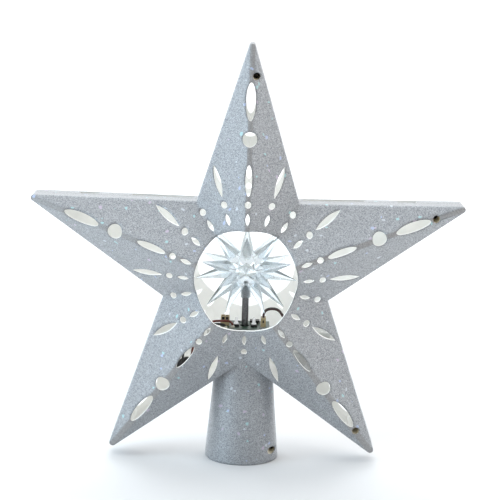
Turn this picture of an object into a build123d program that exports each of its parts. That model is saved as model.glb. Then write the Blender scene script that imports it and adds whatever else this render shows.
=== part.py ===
"""Tree topper star: two perforated, faceted shells on a conical neck, with a clear
spiked prism that a small geared motor turns above a lit circuit board.

Millimetres, +Z up. The origin is the centre of the neck's foot. The shells part at
Y = 0, and the side that takes the screws faces -Y.
"""

import os
from math import acos, atan, cos, degrees, hypot, pi, radians, sin, tan

from build123d import *

os.makedirs("parts", exist_ok=True)

# Star shells
POINTS = 5
STAR_HEIGHT = 98.0
TIP_RADIUS = 114.0
APEX_SHARE = 1.031
RIM_DEPTH = 8.7
BROW_DEPTH = 17.7
PEAK_DEPTH = 46.2
SHELL_WALL = 1.8
RIDGE_FLAT = 1.2
TIP_ROUND = 1.6
TIP_STEPS = 4
WINDOW_RADIUS = 25.4
CUT_OVERRUN = 1.0
FIT_GAP = 0.05
PRESS_GAP = 0.01

# Sides of the round holes, bars and columns that nothing turns in
TINY_SIDES = 6
SMALL_SIDES = 8
MIDDLE_SIDES = 12
LARGE_SIDES = 16
CASE_SIDES = 24
NECK_SIDES = 32
SHORT_BOW_STEPS = 3
LONG_BOW_STEPS = 4

# Perforations: where each ring lies between the centre and a tip, and its holes
RAYS_PER_POINT = 4
SMALL_SLOT_RING_SHARE = 0.271
SMALL_SLOT_LENGTH = 5.7
SMALL_SLOT_WIDTH = 2.1
SMALL_HOLE_RING_SHARE = 0.3316
SMALL_HOLE_RADIUS = 1.55
LONG_SLOT_RING_SHARE = 0.43
RIDGE_SLOT_LENGTH = 14.6
RIDGE_SLOT_WIDTH = 3.3
FLANK_SLOT_LENGTH = 15.2
FLANK_SLOT_WIDTH = 3.0
LARGE_HOLE_RING_SHARE = 0.599
LARGE_HOLE_RADIUS = 3.55
LARGE_SLOT_RING_SHARE = 0.756
LARGE_SLOT_LENGTH = 18.2
LARGE_SLOT_WIDTH = 4.85

# Slots in the upper rims of the rear shell: start and end along the arm's edge
RIM_SLOT_SHARES = ((0.025, 0.4), (0.6, 0.715))
RIM_SLOT_NEAR = 2.2
RIM_SLOT_FAR = 7.4

# Neck
NECK_FOOT_RADIUS = 18.8
NECK_TOP_RADIUS = 14.2
NECK_WALL = 2.0
NECK_FOOT_BEVEL = 0.6

# Shell screws and pegs: (along the ridge, across it) as shares of the tip radius
ARM_FASTENER_SHARE = 0.861
TOP_FASTENER_SIDE_SHARE = 0.021
NECK_FASTENER_SIDE_SHARE = 0.81
NECK_FASTENER_RISE = 6.0
BOSS_RADIUS = 3.0
SCREW_HEAD_RADIUS = 1.35
SCREW_HEAD_HEIGHT = 1.2
SCREW_RADIUS = 0.75
SCREW_SEAT = 2.5
SCREW_BITE = 5.5
RECESS_GAP = 0.55
PILOT_SPARE = 0.6
PEG_RADIUS = 1.2
PEG_LENGTH = 3.5

# Prism
PRISM_FOLD = 6
BELT_TIP_RADIUS = 25.3
BELT_TIP_RISE = 5.3
CROWN_TIP_RADIUS = 19.3
CROWN_TIP_RISE = 19.0
SPIKE_HALF_WIDTH = 4.3
SPIKE_TURN = 45.0
SPIKE_TIP_HALF_WIDTH = 0.18
SPIKE_AIM_DROP = 1.0
CORE_RADIUS = 9.5
CORE_HEIGHT = 8.5
CORE_TOP_RADIUS = 5.5
CORE_SIDES = 6
HUB_RADIUS = 2.6
HUB_LENGTH = 14.6
SHAFT_SOCKET_RISE = 7.0

# Drive train
SHAFT_RADIUS = 1.7
SHAFT_STUB_RADIUS = 1.0
GEAR_MODULE = 0.625
PINION_TEETH = 8
WHEEL_TEETH = 24
ADDENDUM_SHARE = 0.8
DEDENDUM_SHARE = 1.1
PRESSURE_ANGLE = 20.0
BACKLASH = 0.1
GEAR_FACE = 1.8
LAYER_GAP = 0.5
END_GAP = 0.2
GEAR_HUB_RADIUS = 1.6
GEAR_PIN_RADIUS = 0.75

# Gearbox
TRAY_GAP = 0.7
PLATE = 1.2
CASE_WALL = 1.6
CASE_GAP = 0.6
MOTOR_END_RADIUS = 7.8
CASE_LUG_RADIUS = 2.4
CASE_LUG_ANGLE = 45.0
MOTOR_LUG_ANGLE = 78.0
BUSH_RADIUS = 3.0
BUSH_FLANGE_RADIUS = 3.8
BUSH_FLANGE_HEIGHT = 0.5
LEFT_EAR_REACH = 9.0
RIGHT_EAR_REACH = 6.0
EAR_SCREW_INSET = 2.4
EAR_THICKNESS = 2.0
EAR_NEAR = 1.0
MOUNT_BOSS_RADIUS = 2.4
SMALL_HEAD_RADIUS = 1.25
SMALL_HEAD_HEIGHT = 0.7
SMALL_SCREW_RADIUS = 0.65
CASE_SCREW_BITE = 5.0
MOTOR_SCREW_BITE = 2.5
MOTOR_SCREW_SPREAD = 4.6

# Motor
MOTOR_RADIUS = 7.5
MOTOR_LENGTH = 12.0
MOTOR_BEVEL = 0.8
MOTOR_NOSE_RADIUS = 3.0
MOTOR_NOSE_HEIGHT = 0.9
MOTOR_CAP_RADIUS = 7.0
MOTOR_CAP_HEIGHT = 1.8
MOTOR_SHAFT_RADIUS = 0.75
MOTOR_SHAFT_DEPTH = 9.0
TERMINAL_WIDTH = 1.6
TERMINAL_THICKNESS = 0.4
TERMINAL_REACH = 2.6
TERMINAL_SPREAD = 2.2

# Circuit board
BOARD_WIDTH = 25.0
BOARD_DEPTH = 20.0
BOARD_THICKNESS = 1.2
BOARD_SHAFT_GAP = 0.9
BOARD_STANDOFF = 1.0
STANDOFF_RADIUS = 1.7
BOARD_SCREW_X_SHARES = (-0.1, 0.36)
BOARD_SCREW_Y_SHARES = (0.37, -0.36)
LED_RADIUS = 0.95
LED_HEIGHT = 3.6
LED_RIM_RADIUS = 1.25
LED_RIM_HEIGHT = 0.6
LED_DOME = 0.4
LED_X_SHARES = (-0.175, 0.185)
LEAD_WIDTH = 0.4
LEAD_SPREAD = 0.6
LEAD_RISE = 0.7
HEADER_WIDTH = 4.4
HEADER_DEPTH = 4.0
HEADER_HEIGHT = 4.8
HEADER_WALL = 0.6
HEADER_FLOOR = 1.2
HEADER_X_SHARE = -0.4
HEADER_PIN_SPREAD = 1.0
HEADER_PIN_WIDTH = 0.5
HEADER_PIN_HEIGHT = 3.2
PLUG_WIDTH = 2.6
PLUG_DEPTH = 5.0
PLUG_HEIGHT = 4.4
PLUG_RIB = 0.5
PLUG_RIB_HEIGHT = 1.6
PLUG_X_SHARE = 0.375
CHIP_WIDTH = 5.0
CHIP_DEPTH = 4.0
CHIP_HEIGHT = 1.5
CHIP_X_SHARE = 0.2
CHIP_Y_SHARE = 0.31
CHIP_LEG_COUNT = 4
CHIP_LEG_PITCH = 1.27
CHIP_LEG_WIDTH = 0.45
CHIP_LEG_REACH = 0.9
CHIP_LEG_HEIGHT = 0.5
RESISTOR_WIDTH = 3.2
RESISTOR_DEPTH = 1.6
RESISTOR_HEIGHT = 1.0
RESISTOR_Y_SHARE = -0.16

# Power inlet: place on the lower left leg, along the ridge and across it
INLET_ALONG_SHARE = 0.535
INLET_ACROSS_SHARE = 0.07
INLET_SEAT = 9.0
INLET_BOSS_RADIUS = 5.4
INLET_RADIUS = 3.9
INLET_LENGTH = 7.4
INLET_FLANGE_RADIUS = 5.2
INLET_FLANGE_HEIGHT = 1.6
INLET_BORE_RADIUS = 2.8
INLET_BORE_DEPTH = 6.2
INLET_PIN_RADIUS = 0.9
INLET_PIN_LENGTH = 5.4
TAG_WIDTH = 1.8
TAG_THICKNESS = 0.4
TAG_REACH = 2.4
TAG_SPREAD = 2.2

# Wires: routes from the plug, from the motor's tags, from the board and from the inlet's tags
WIRE_RADIUS = 0.6
WIRE_SIDES = 5
CORNER_CUT_SHARE = 0.3
MOTOR_WIRE_SPREAD = 0.75
MOTOR_WIRE_LOOP = [(0, 0, 2.6), (2.6, 0, 4.6), (7.4, 0, 4.4), (10.2, 0, 0.6)]
MOTOR_WIRE_TURNS = (
    [(11.5, 0, -3.7), (13.2, 8.2, -4.4)],
    [(11.5, 0, -2.2), (13.2, 7.8, -2.8)],
)
MOTOR_WIRE_DROPS = (
    [(-3.4, 3.7, 20.0), (-0.5, 3.7, 9.5), (0, 3.2, 0)],
    [(-7.8, 5.3, 21.0), (-1.2, 5.0, 9.5), (0, 3.2, 0)],
)
RED_WIRE_ROUTE = [(-6.0, -5.2, 0), (-6.0, -5.2, 2.8), (-11.0, -6.2, 3.4), (-18.0, -6.0, 2.8)]
BLACK_WIRE_ROUTE = [(-9.6, -7.2, 0), (-9.6, -7.2, 1.7), (-15.0, -7.6, 2.0), (-20.0, -6.8, 0.4)]
SUPPLY_WIRE_APPROACH = [(1.6, -8.0, 17.0), (0.4, -6.0, 7.5), (0, -3.6, 0)]

# Places that follow from the sizes above
ARM_ANGLE = 360 / POINTS
APEX_RADIUS = APEX_SHARE * TIP_RADIUS
CORNER_RADIUS = TIP_RADIUS * cos(radians(ARM_ANGLE)) / cos(radians(ARM_ANGLE / 2))
CORNER_ALONG = CORNER_RADIUS * cos(radians(ARM_ANGLE / 2))
CORNER_ACROSS = CORNER_RADIUS * sin(radians(ARM_ANGLE / 2))
TIP_HALF_ANGLE = atan(CORNER_ACROSS / (APEX_RADIUS - CORNER_ALONG))
TIP_ROUND_CENTRE = APEX_RADIUS - TIP_ROUND / sin(TIP_HALF_ANGLE)
EDGE_DISTANCE = APEX_RADIUS * sin(TIP_HALF_ANGLE)
HOLLOW_SHARE = 1 - SHELL_WALL / EDGE_DISTANCE
FACET_SLOPE = (PEAK_DEPTH - RIM_DEPTH) / EDGE_DISTANCE
PEAK_DROP = SHELL_WALL * hypot(1, FACET_SLOPE)
RIM_DROP = PEAK_DROP - SHELL_WALL * FACET_SLOPE
STAR_PLANE = Plane(origin=(0, 0, STAR_HEIGHT), x_dir=(1, 0, 0), z_dir=(0, -1, 0))
ROOF_Z = STAR_HEIGHT - HOLLOW_SHARE * CORNER_RADIUS
NECK_TOP_Z = STAR_HEIGHT - CORNER_RADIUS

PINION_RADIUS = GEAR_MODULE * PINION_TEETH / 2
WHEEL_RADIUS = GEAR_MODULE * WHEEL_TEETH / 2
CENTRES = PINION_RADIUS + WHEEL_RADIUS
SECOND_X = CENTRES
FIRST_X = 2 * CENTRES
MOTOR_X = 3 * CENTRES
WHEEL_TIP = WHEEL_RADIUS + ADDENDUM_SHARE * GEAR_MODULE
CASE_RADIUS = WHEEL_TIP + CASE_GAP + CASE_WALL

TRAY_Z = ROOF_Z + TRAY_GAP
FLOOR_Z = TRAY_Z + PLATE
LAYER_STEP = GEAR_FACE + LAYER_GAP
LOW_LAYER_Z = FLOOR_Z + END_GAP
MID_LAYER_Z = LOW_LAYER_Z + LAYER_STEP
HIGH_LAYER_Z = MID_LAYER_Z + LAYER_STEP
COVER_Z = HIGH_LAYER_Z + GEAR_FACE + END_GAP
COVER_TOP_Z = COVER_Z + PLATE
BOARD_Z = COVER_TOP_Z + BOARD_STANDOFF
BOARD_TOP_Z = BOARD_Z + BOARD_THICKNESS
CASE_HEIGHT = COVER_TOP_Z - TRAY_Z

EAR_Z = (TRAY_Z + COVER_TOP_Z) / 2
EAR_ENDS = (-CASE_RADIUS - LEFT_EAR_REACH, MOTOR_X + MOTOR_END_RADIUS + RIGHT_EAR_REACH)
EAR_PLACES = (EAR_ENDS[0] + EAR_SCREW_INSET, EAR_ENDS[1] - EAR_SCREW_INSET)
EAR_BACK = EAR_NEAR + EAR_THICKNESS


def on_arm(angle, along, across=0):
    """A place on the arm whose ridge lies at angle, about the star's centre."""
    turn = radians(angle)
    return (along * cos(turn) - across * sin(turn), along * sin(turn) + across * cos(turn))


TOP_ARM, LEFT_ARM, LEFT_LEG, RIGHT_LEG, RIGHT_ARM = (90 + ARM_ANGLE * arm for arm in range(POINTS))
FASTENER_ALONG = ARM_FASTENER_SHARE * TIP_RADIUS
NECK_FASTENER_X = NECK_FASTENER_SIDE_SHARE * NECK_FOOT_RADIUS
NECK_FASTENER_Z = NECK_FASTENER_RISE - STAR_HEIGHT
SCREW_PLACES = (
    on_arm(TOP_ARM, FASTENER_ALONG, -TOP_FASTENER_SIDE_SHARE * TIP_RADIUS),
    on_arm(RIGHT_ARM, FASTENER_ALONG),
    on_arm(RIGHT_LEG, FASTENER_ALONG),
    (NECK_FASTENER_X, NECK_FASTENER_Z),
)
PEG_PLACES = (
    on_arm(LEFT_ARM, FASTENER_ALONG),
    on_arm(LEFT_LEG, FASTENER_ALONG),
    (-NECK_FASTENER_X, NECK_FASTENER_Z),
)
INLET_PLACE = on_arm(LEFT_LEG, INLET_ALONG_SHARE * TIP_RADIUS, INLET_ACROSS_SHARE * TIP_RADIUS)


def rounded_outline():
    """The star's outline about its centre, each tip rounded by a few straight steps."""
    points = []
    for arm in range(POINTS):
        ridge = TOP_ARM + ARM_ANGLE * arm
        for step in range(TIP_STEPS + 1):
            swing = (pi / 2 - TIP_HALF_ANGLE) * (2 * step / TIP_STEPS - 1)
            along = TIP_ROUND_CENTRE + TIP_ROUND * cos(swing)
            points.append(on_arm(ridge, along, TIP_ROUND * sin(swing)))
        points.append(on_arm(ridge + ARM_ANGLE / 2, CORNER_RADIUS))
    return points


def star_half(share, rim_depth, brow_depth, peak_depth, ridge_flat=0.0):
    """Half a faceted star with sharp tips, from the parting plane towards -Y.

    Each facet runs from the peak to one edge of the rim. The rim's bottom corner
    stands out further than the rest, as a brow over the neck. The ridges along the
    arms may be flattened."""
    radii = (share * APEX_RADIUS, share * CORNER_RADIUS)
    corners = [on_arm(TOP_ARM + ARM_ANGLE / 2 * step, radii[step % 2]) for step in range(2 * POINTS)]
    depths = [brow_depth if step == POINTS else rim_depth for step in range(2 * POINTS)]
    peak = Vector(0, -peak_depth, STAR_HEIGHT)
    rim = [Vector(x, -depth, STAR_HEIGHT + z) for (x, z), depth in zip(corners, depths)]
    wedges = []
    for step in range(2 * POINTS):
        following = (step + 1) % (2 * POINTS)
        outward = (rim[step] - peak).cross(rim[following] - peak)
        with BuildPart() as wedge:
            with BuildSketch(STAR_PLANE):
                with BuildLine():
                    Polyline((0, 0), corners[step], corners[following], close=True)
                make_face()
            extrude(amount=peak_depth)
            split(bisect_by=Plane(origin=peak, z_dir=outward), keep=Keep.BOTTOM)
            if ridge_flat:
                ridge = rim[step if step % 2 == 0 else following] - peak
                crest = Plane(origin=peak, x_dir=ridge, z_dir=ridge.cross(Vector(0, -1, 0)).cross(ridge))
                split(bisect_by=crest.offset(-ridge_flat), keep=Keep.BOTTOM)
        wedges.append(wedge.part)
    with BuildPart() as half:
        add(wedges)
    return half.part


def lens(length, width, steps):
    """A slot with pointed ends, each side a bow of straight steps."""
    bow = [2 * step / steps - 1 for step in range(steps)]
    upper = [(share * length / 2, (1 - share**2) * width / 2) for share in bow]
    return upper + [(-x, -y) for x, y in upper]


def oval(length, width, sides):
    """An ellipse of straight edges, with a corner at each end."""
    turns = [2 * pi * side / sides for side in range(sides)]
    return [(length / 2 * cos(turn), width / 2 * sin(turn)) for turn in turns]


def pan_screw(plane, places, head_radius, head_height, radius, length):
    """Screws that stand on a seat: heads along the plane's normal, shanks against it."""
    with BuildPart() as screws:
        with BuildSketch(plane):
            with Locations(*places):
                RegularPolygon(head_radius, SMALL_SIDES)
        extrude(amount=head_height)
        with BuildSketch(plane):
            with Locations(*places):
                RegularPolygon(radius, TINY_SIDES)
        extrude(amount=-length)
    return screws.part


def gear_outline(teeth, turn):
    """A spur gear's outline with straight flanks, the first tooth's middle at turn."""
    pitch_radius = GEAR_MODULE * teeth / 2
    base_radius = pitch_radius * cos(radians(PRESSURE_ANGLE))
    root_radius = pitch_radius - DEDENDUM_SHARE * GEAR_MODULE
    tip_radius = pitch_radius + ADDENDUM_SHARE * GEAR_MODULE
    pressure = radians(PRESSURE_ANGLE)
    tip_pressure = acos(base_radius / tip_radius)
    pitch_half = pi / (2 * teeth) - BACKLASH / (2 * pitch_radius)
    root_half = pitch_half + tan(pressure) - pressure
    tip_half = root_half - tan(tip_pressure) + tip_pressure
    points = []
    for tooth in range(teeth):
        middle = radians(turn) + 2 * pi * tooth / teeth
        flanks = (
            (root_radius, -root_half),
            (tip_radius, -tip_half),
            (tip_radius, tip_half),
            (root_radius, root_half),
        )
        for radius, swing in flanks:
            points.append((radius * cos(middle + swing), radius * sin(middle + swing)))
    return points


def toothed(teeth, x, z, height, turn=0.0):
    """One toothed disc, solid, from z upwards."""
    with BuildPart() as disc:
        with BuildSketch(Plane((x, 0, z))):
            Polygon(*gear_outline(teeth, turn), align=None)
        extrude(amount=height)
    return disc.part


def wire(points):
    """A wire of straight runs, its route's corners cut off."""
    route = [points[0]]
    for before, corner, after in zip(points, points[1:], points[2:]):
        route.append(corner + (before - corner) * CORNER_CUT_SHARE)
        route.append(corner + (after - corner) * CORNER_CUT_SHARE)
    route.append(points[-1])
    with BuildPart() as strand:
        with BuildLine() as line:
            Polyline(*route)
        with BuildSketch(Plane(origin=route[0], z_dir=route[1] - route[0])):
            RegularPolygon(WIRE_RADIUS, WIRE_SIDES)
        sweep(path=line.line, transition=Transition.RIGHT)
    return strand.part


# Star body before it is hollowed, with the neck below it
WHOLE_STAR = star_half(1, RIM_DEPTH, BROW_DEPTH, PEAK_DEPTH, RIDGE_FLAT)
HOLLOW = star_half(
    HOLLOW_SHARE, RIM_DEPTH - RIM_DROP, BROW_DEPTH - RIM_DROP, PEAK_DEPTH - PEAK_DROP
)

NECK_TAPER = degrees(atan((NECK_FOOT_RADIUS - NECK_TOP_RADIUS) / NECK_TOP_Z))
with BuildPart() as neck_cone:
    with BuildSketch():
        RegularPolygon(NECK_FOOT_RADIUS, NECK_SIDES)
    extrude(amount=NECK_TOP_Z, taper=NECK_TAPER)
    chamfer(neck_cone.edges().group_by(Axis.Z)[0], NECK_FOOT_BEVEL)
    split(bisect_by=Plane.XZ)

with BuildPart() as neck_tube:
    add(neck_cone.part)
    with BuildSketch():
        RegularPolygon(NECK_FOOT_RADIUS - NECK_WALL, NECK_SIDES)
    extrude(amount=NECK_TOP_Z, taper=NECK_TAPER, mode=Mode.SUBTRACT)
    add(WHOLE_STAR, mode=Mode.SUBTRACT)

with BuildPart() as round_star:
    add(WHOLE_STAR)
    with BuildSketch(STAR_PLANE):
        Polygon(*rounded_outline(), align=None)
    extrude(amount=PEAK_DEPTH, mode=Mode.INTERSECT)

with BuildPart() as envelope:
    add(round_star.part)
    add(neck_cone.part)

RAY_ANGLE = ARM_ANGLE / RAYS_PER_POINT
BOTTOM = 270
with BuildPart() as shell_blank:
    add(round_star.part)
    add(HOLLOW, mode=Mode.SUBTRACT)
    add(neck_tube.part)
    with BuildSketch(STAR_PLANE):
        Circle(WINDOW_RADIUS)
        with PolarLocations(SMALL_SLOT_RING_SHARE * TIP_RADIUS, POINTS * RAYS_PER_POINT, BOTTOM):
            Polygon(*lens(SMALL_SLOT_LENGTH, SMALL_SLOT_WIDTH, SHORT_BOW_STEPS), align=None)
        for ray in range(POINTS * RAYS_PER_POINT):
            if ray not in (1, POINTS * RAYS_PER_POINT - 1):
                with Locations(on_arm(BOTTOM + RAY_ANGLE * ray, SMALL_HOLE_RING_SHARE * TIP_RADIUS)):
                    RegularPolygon(SMALL_HOLE_RADIUS, TINY_SIDES)
        with PolarLocations(LONG_SLOT_RING_SHARE * TIP_RADIUS, POINTS, TOP_ARM):
            Polygon(*oval(RIDGE_SLOT_LENGTH, RIDGE_SLOT_WIDTH, MIDDLE_SIDES), align=None)
        for side in (-RAY_ANGLE, RAY_ANGLE):
            with PolarLocations(LONG_SLOT_RING_SHARE * TIP_RADIUS, POINTS, TOP_ARM + side):
                Polygon(*lens(FLANK_SLOT_LENGTH, FLANK_SLOT_WIDTH, LONG_BOW_STEPS), align=None)
        with PolarLocations(LARGE_HOLE_RING_SHARE * TIP_RADIUS, POINTS, TOP_ARM):
            RegularPolygon(LARGE_HOLE_RADIUS, MIDDLE_SIDES)
        with PolarLocations(LARGE_SLOT_RING_SHARE * TIP_RADIUS, POINTS, TOP_ARM):
            Polygon(*oval(LARGE_SLOT_LENGTH, LARGE_SLOT_WIDTH, MIDDLE_SIDES), align=None)
    extrude(amount=PEAK_DEPTH, mode=Mode.SUBTRACT)

# Front shell: sunk screw holes, and pegs that reach into the rear shell
with BuildPart() as front_columns:
    with BuildSketch(STAR_PLANE):
        with Locations(*SCREW_PLACES, *PEG_PLACES):
            RegularPolygon(BOSS_RADIUS, TINY_SIDES)
    extrude(amount=PEAK_DEPTH)
    add(envelope.part, mode=Mode.INTERSECT)

with BuildPart() as front_shell:
    add(shell_blank.part)
    add(front_columns.part)
    with BuildSketch(STAR_PLANE.offset(SCREW_SEAT)):
        with Locations(*SCREW_PLACES):
            RegularPolygon(SCREW_HEAD_RADIUS + RECESS_GAP, SMALL_SIDES)
    extrude(amount=PEAK_DEPTH, mode=Mode.SUBTRACT)
    with BuildSketch(STAR_PLANE):
        with Locations(*SCREW_PLACES):
            RegularPolygon(SCREW_RADIUS + FIT_GAP, TINY_SIDES)
    extrude(amount=SCREW_SEAT, mode=Mode.SUBTRACT)
    with BuildSketch(STAR_PLANE):
        with Locations(*PEG_PLACES):
            RegularPolygon(PEG_RADIUS, TINY_SIDES)
    extrude(amount=-PEG_LENGTH)
front_shell.part.label = "front_shell"
export_step(front_shell.part, "parts/front_shell.step")

# Rear shell: screw and peg bosses, gearbox bosses, inlet boss and rim slots
with BuildPart() as rear_columns:
    with BuildSketch(STAR_PLANE):
        with Locations(*SCREW_PLACES, *PEG_PLACES):
            RegularPolygon(BOSS_RADIUS, TINY_SIDES)
    extrude(amount=-PEAK_DEPTH)
    with BuildSketch(STAR_PLANE.offset(-EAR_BACK)):
        with Locations(*[(x, EAR_Z - STAR_HEIGHT) for x in EAR_PLACES]):
            RegularPolygon(MOUNT_BOSS_RADIUS, TINY_SIDES)
    extrude(amount=-PEAK_DEPTH)
    with BuildSketch(STAR_PLANE.offset(-INLET_SEAT)):
        with Locations(INLET_PLACE):
            RegularPolygon(INLET_BOSS_RADIUS, LARGE_SIDES)
    extrude(amount=-PEAK_DEPTH)
    add(mirror(envelope.part, about=Plane.XZ, mode=Mode.PRIVATE), mode=Mode.INTERSECT)

with BuildPart() as rear_shell:
    add(mirror(shell_blank.part, about=Plane.XZ, mode=Mode.PRIVATE))
    add(rear_columns.part)
    with BuildSketch(STAR_PLANE):
        with Locations(*SCREW_PLACES):
            RegularPolygon(SCREW_RADIUS + PRESS_GAP, TINY_SIDES)
    extrude(amount=-SCREW_BITE - PILOT_SPARE, mode=Mode.SUBTRACT)
    with BuildSketch(STAR_PLANE):
        with Locations(*PEG_PLACES):
            RegularPolygon(PEG_RADIUS + FIT_GAP, TINY_SIDES)
    extrude(amount=-PEG_LENGTH - PILOT_SPARE, mode=Mode.SUBTRACT)
    with BuildSketch(STAR_PLANE.offset(-EAR_BACK)):
        with Locations(*[(x, EAR_Z - STAR_HEIGHT) for x in EAR_PLACES]):
            RegularPolygon(SMALL_SCREW_RADIUS + PRESS_GAP, TINY_SIDES)
    extrude(amount=-CASE_SCREW_BITE - PILOT_SPARE, mode=Mode.SUBTRACT)
    with BuildSketch(STAR_PLANE.offset(-INLET_SEAT)):
        with Locations(INLET_PLACE):
            RegularPolygon(INLET_RADIUS + FIT_GAP, LARGE_SIDES)
    extrude(amount=-PEAK_DEPTH, mode=Mode.SUBTRACT)
    rim_top = Plane.XY.offset(STAR_HEIGHT + CORNER_ALONG)
    with BuildSketch(rim_top):
        for start_share, end_share in RIM_SLOT_SHARES:
            edge_length = TIP_RADIUS * cos(radians(RIGHT_ARM)) - CORNER_ACROSS
            slot_length = (end_share - start_share) * edge_length
            slot_x = CORNER_ACROSS + (start_share + end_share) / 2 * edge_length
            slot_y = (RIM_SLOT_NEAR + RIM_SLOT_FAR) / 2
            with Locations((slot_x, slot_y), (-slot_x, slot_y)):
                Rectangle(slot_length, RIM_SLOT_FAR - RIM_SLOT_NEAR)
    extrude(amount=SHELL_WALL + CUT_OVERRUN, both=True, mode=Mode.SUBTRACT)
rear_shell.part.label = "rear_shell"
export_step(rear_shell.part, "parts/rear_shell.step")

shell_screws = pan_screw(
    STAR_PLANE.offset(SCREW_SEAT),
    SCREW_PLACES,
    SCREW_HEAD_RADIUS,
    SCREW_HEAD_HEIGHT,
    SCREW_RADIUS,
    SCREW_SEAT + SCREW_BITE,
)
shell_screws.label = "shell_screws"
export_step(shell_screws, "parts/shell_screws.step")


# Prism: two alike halves of spikes, the lower one flipped and turned half a step
def spike_plane(tip_radius, tip_rise, angle):
    """The plane of a spike's foot near the prism's axis, square to the spike."""
    turn = radians(angle)
    tip = Vector(tip_radius * cos(turn), tip_radius * sin(turn), tip_rise)
    foot = Vector(0, 0, -SPIKE_AIM_DROP)
    return Plane(origin=foot, x_dir=(-sin(turn), cos(turn), 0), z_dir=tip - foot)


with BuildPart() as prism_half:
    with BuildSketch():
        RegularPolygon(CORE_RADIUS, CORE_SIDES)
    extrude(amount=CORE_HEIGHT, taper=degrees(atan((CORE_RADIUS - CORE_TOP_RADIUS) / CORE_HEIGHT)))
    for tip_radius, tip_rise in ((BELT_TIP_RADIUS, BELT_TIP_RISE), (CROWN_TIP_RADIUS, CROWN_TIP_RISE)):
        spike_length = hypot(tip_radius, tip_rise + SPIKE_AIM_DROP)
        spike_taper = degrees(atan((SPIKE_HALF_WIDTH - SPIKE_TIP_HALF_WIDTH) / spike_length))
        for spike in range(PRISM_FOLD):
            with BuildSketch(spike_plane(tip_radius, tip_rise, BOTTOM + 360 / PRISM_FOLD * spike)):
                Rectangle(2 * SPIKE_HALF_WIDTH, 2 * SPIKE_HALF_WIDTH, rotation=SPIKE_TURN)
            extrude(amount=spike_length, taper=spike_taper)
    split(bisect_by=Plane.XY)

with BuildPart() as prism_upper:
    add(Location((0, 0, STAR_HEIGHT)) * prism_half.part)
prism_upper.part.label = "prism_upper"
export_step(prism_upper.part, "parts/prism_upper.step")

lower_half = Rotation(0, 0, 180 / PRISM_FOLD) * Rotation(180, 0, 0) * prism_half.part
with BuildPart() as prism_lower:
    add(Location((0, 0, STAR_HEIGHT)) * lower_half)
    with BuildSketch(Plane.XY.offset(STAR_HEIGHT - HUB_LENGTH)):
        RegularPolygon(HUB_RADIUS, MIDDLE_SIDES)
    extrude(amount=HUB_LENGTH - SHAFT_SOCKET_RISE)
    with BuildSketch(Plane.XY.offset(STAR_HEIGHT - SHAFT_SOCKET_RISE)):
        RegularPolygon(SHAFT_RADIUS + PRESS_GAP, MIDDLE_SIDES, major_radius=False)
    extrude(amount=-HUB_LENGTH, mode=Mode.SUBTRACT)
prism_lower.part.label = "prism_lower"
export_step(prism_lower.part, "parts/prism_lower.step")

# Drive shaft, from its stub in the tray's floor up into the prism
with BuildPart() as drive_shaft:
    with BuildSketch(Plane.XY.offset(LOW_LAYER_Z)):
        Circle(SHAFT_RADIUS)
    extrude(amount=STAR_HEIGHT - SHAFT_SOCKET_RISE - LOW_LAYER_Z)
    with BuildSketch(Plane.XY.offset(TRAY_Z)):
        Circle(SHAFT_STUB_RADIUS)
    extrude(amount=LOW_LAYER_Z - TRAY_Z)
drive_shaft.part.label = "drive_shaft"
export_step(drive_shaft.part, "parts/drive_shaft.step")

# Gears. Wheels have a gap where they meet a pinion, pinions have a tooth there
HALF_TOOTH = 180 / WHEEL_TEETH
OUTPUT_WHEEL = toothed(WHEEL_TEETH, 0, HIGH_LAYER_Z, GEAR_FACE, HALF_TOOTH)
with BuildPart() as output_gear:
    add(OUTPUT_WHEEL)
    with BuildSketch(Plane.XY.offset(HIGH_LAYER_Z)):
        RegularPolygon(SHAFT_RADIUS + PRESS_GAP, MIDDLE_SIDES, major_radius=False)
    extrude(amount=GEAR_FACE, mode=Mode.SUBTRACT)
output_gear.part.label = "output_gear"
export_step(output_gear.part, "parts/output_gear.step")


def compound_gear(x, wheel_z):
    """A wheel with a pinion above it, on a hub from the tray's floor to the cover."""
    wheel = toothed(WHEEL_TEETH, x, wheel_z, GEAR_FACE, HALF_TOOTH)
    pinion = toothed(PINION_TEETH, x, wheel_z + GEAR_FACE, LAYER_STEP)
    hub_height = HIGH_LAYER_Z + GEAR_FACE - LOW_LAYER_Z
    with BuildPart() as gear:
        add([wheel, pinion])
        with BuildSketch(Plane((x, 0, LOW_LAYER_Z))):
            RegularPolygon(GEAR_HUB_RADIUS, MIDDLE_SIDES)
        extrude(amount=hub_height)
        with BuildSketch(Plane((x, 0, LOW_LAYER_Z))):
            Circle(GEAR_PIN_RADIUS + FIT_GAP)
        extrude(amount=hub_height, mode=Mode.SUBTRACT)
    return gear.part


for gear_name, gear_x, gear_z in (
    ("second_gear", SECOND_X, MID_LAYER_Z),
    ("first_gear", FIRST_X, LOW_LAYER_Z),
):
    gear_part = compound_gear(gear_x, gear_z)
    gear_part.label = gear_name
    export_step(gear_part, f"parts/{gear_name}.step")

with BuildPart() as gear_pins:
    with BuildSketch(Plane.XY.offset(TRAY_Z)):
        with Locations((SECOND_X, 0), (FIRST_X, 0)):
            Circle(GEAR_PIN_RADIUS)
    extrude(amount=CASE_HEIGHT)
gear_pins.part.label = "gear_pins"
export_step(gear_pins.part, "parts/gear_pins.step")

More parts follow.
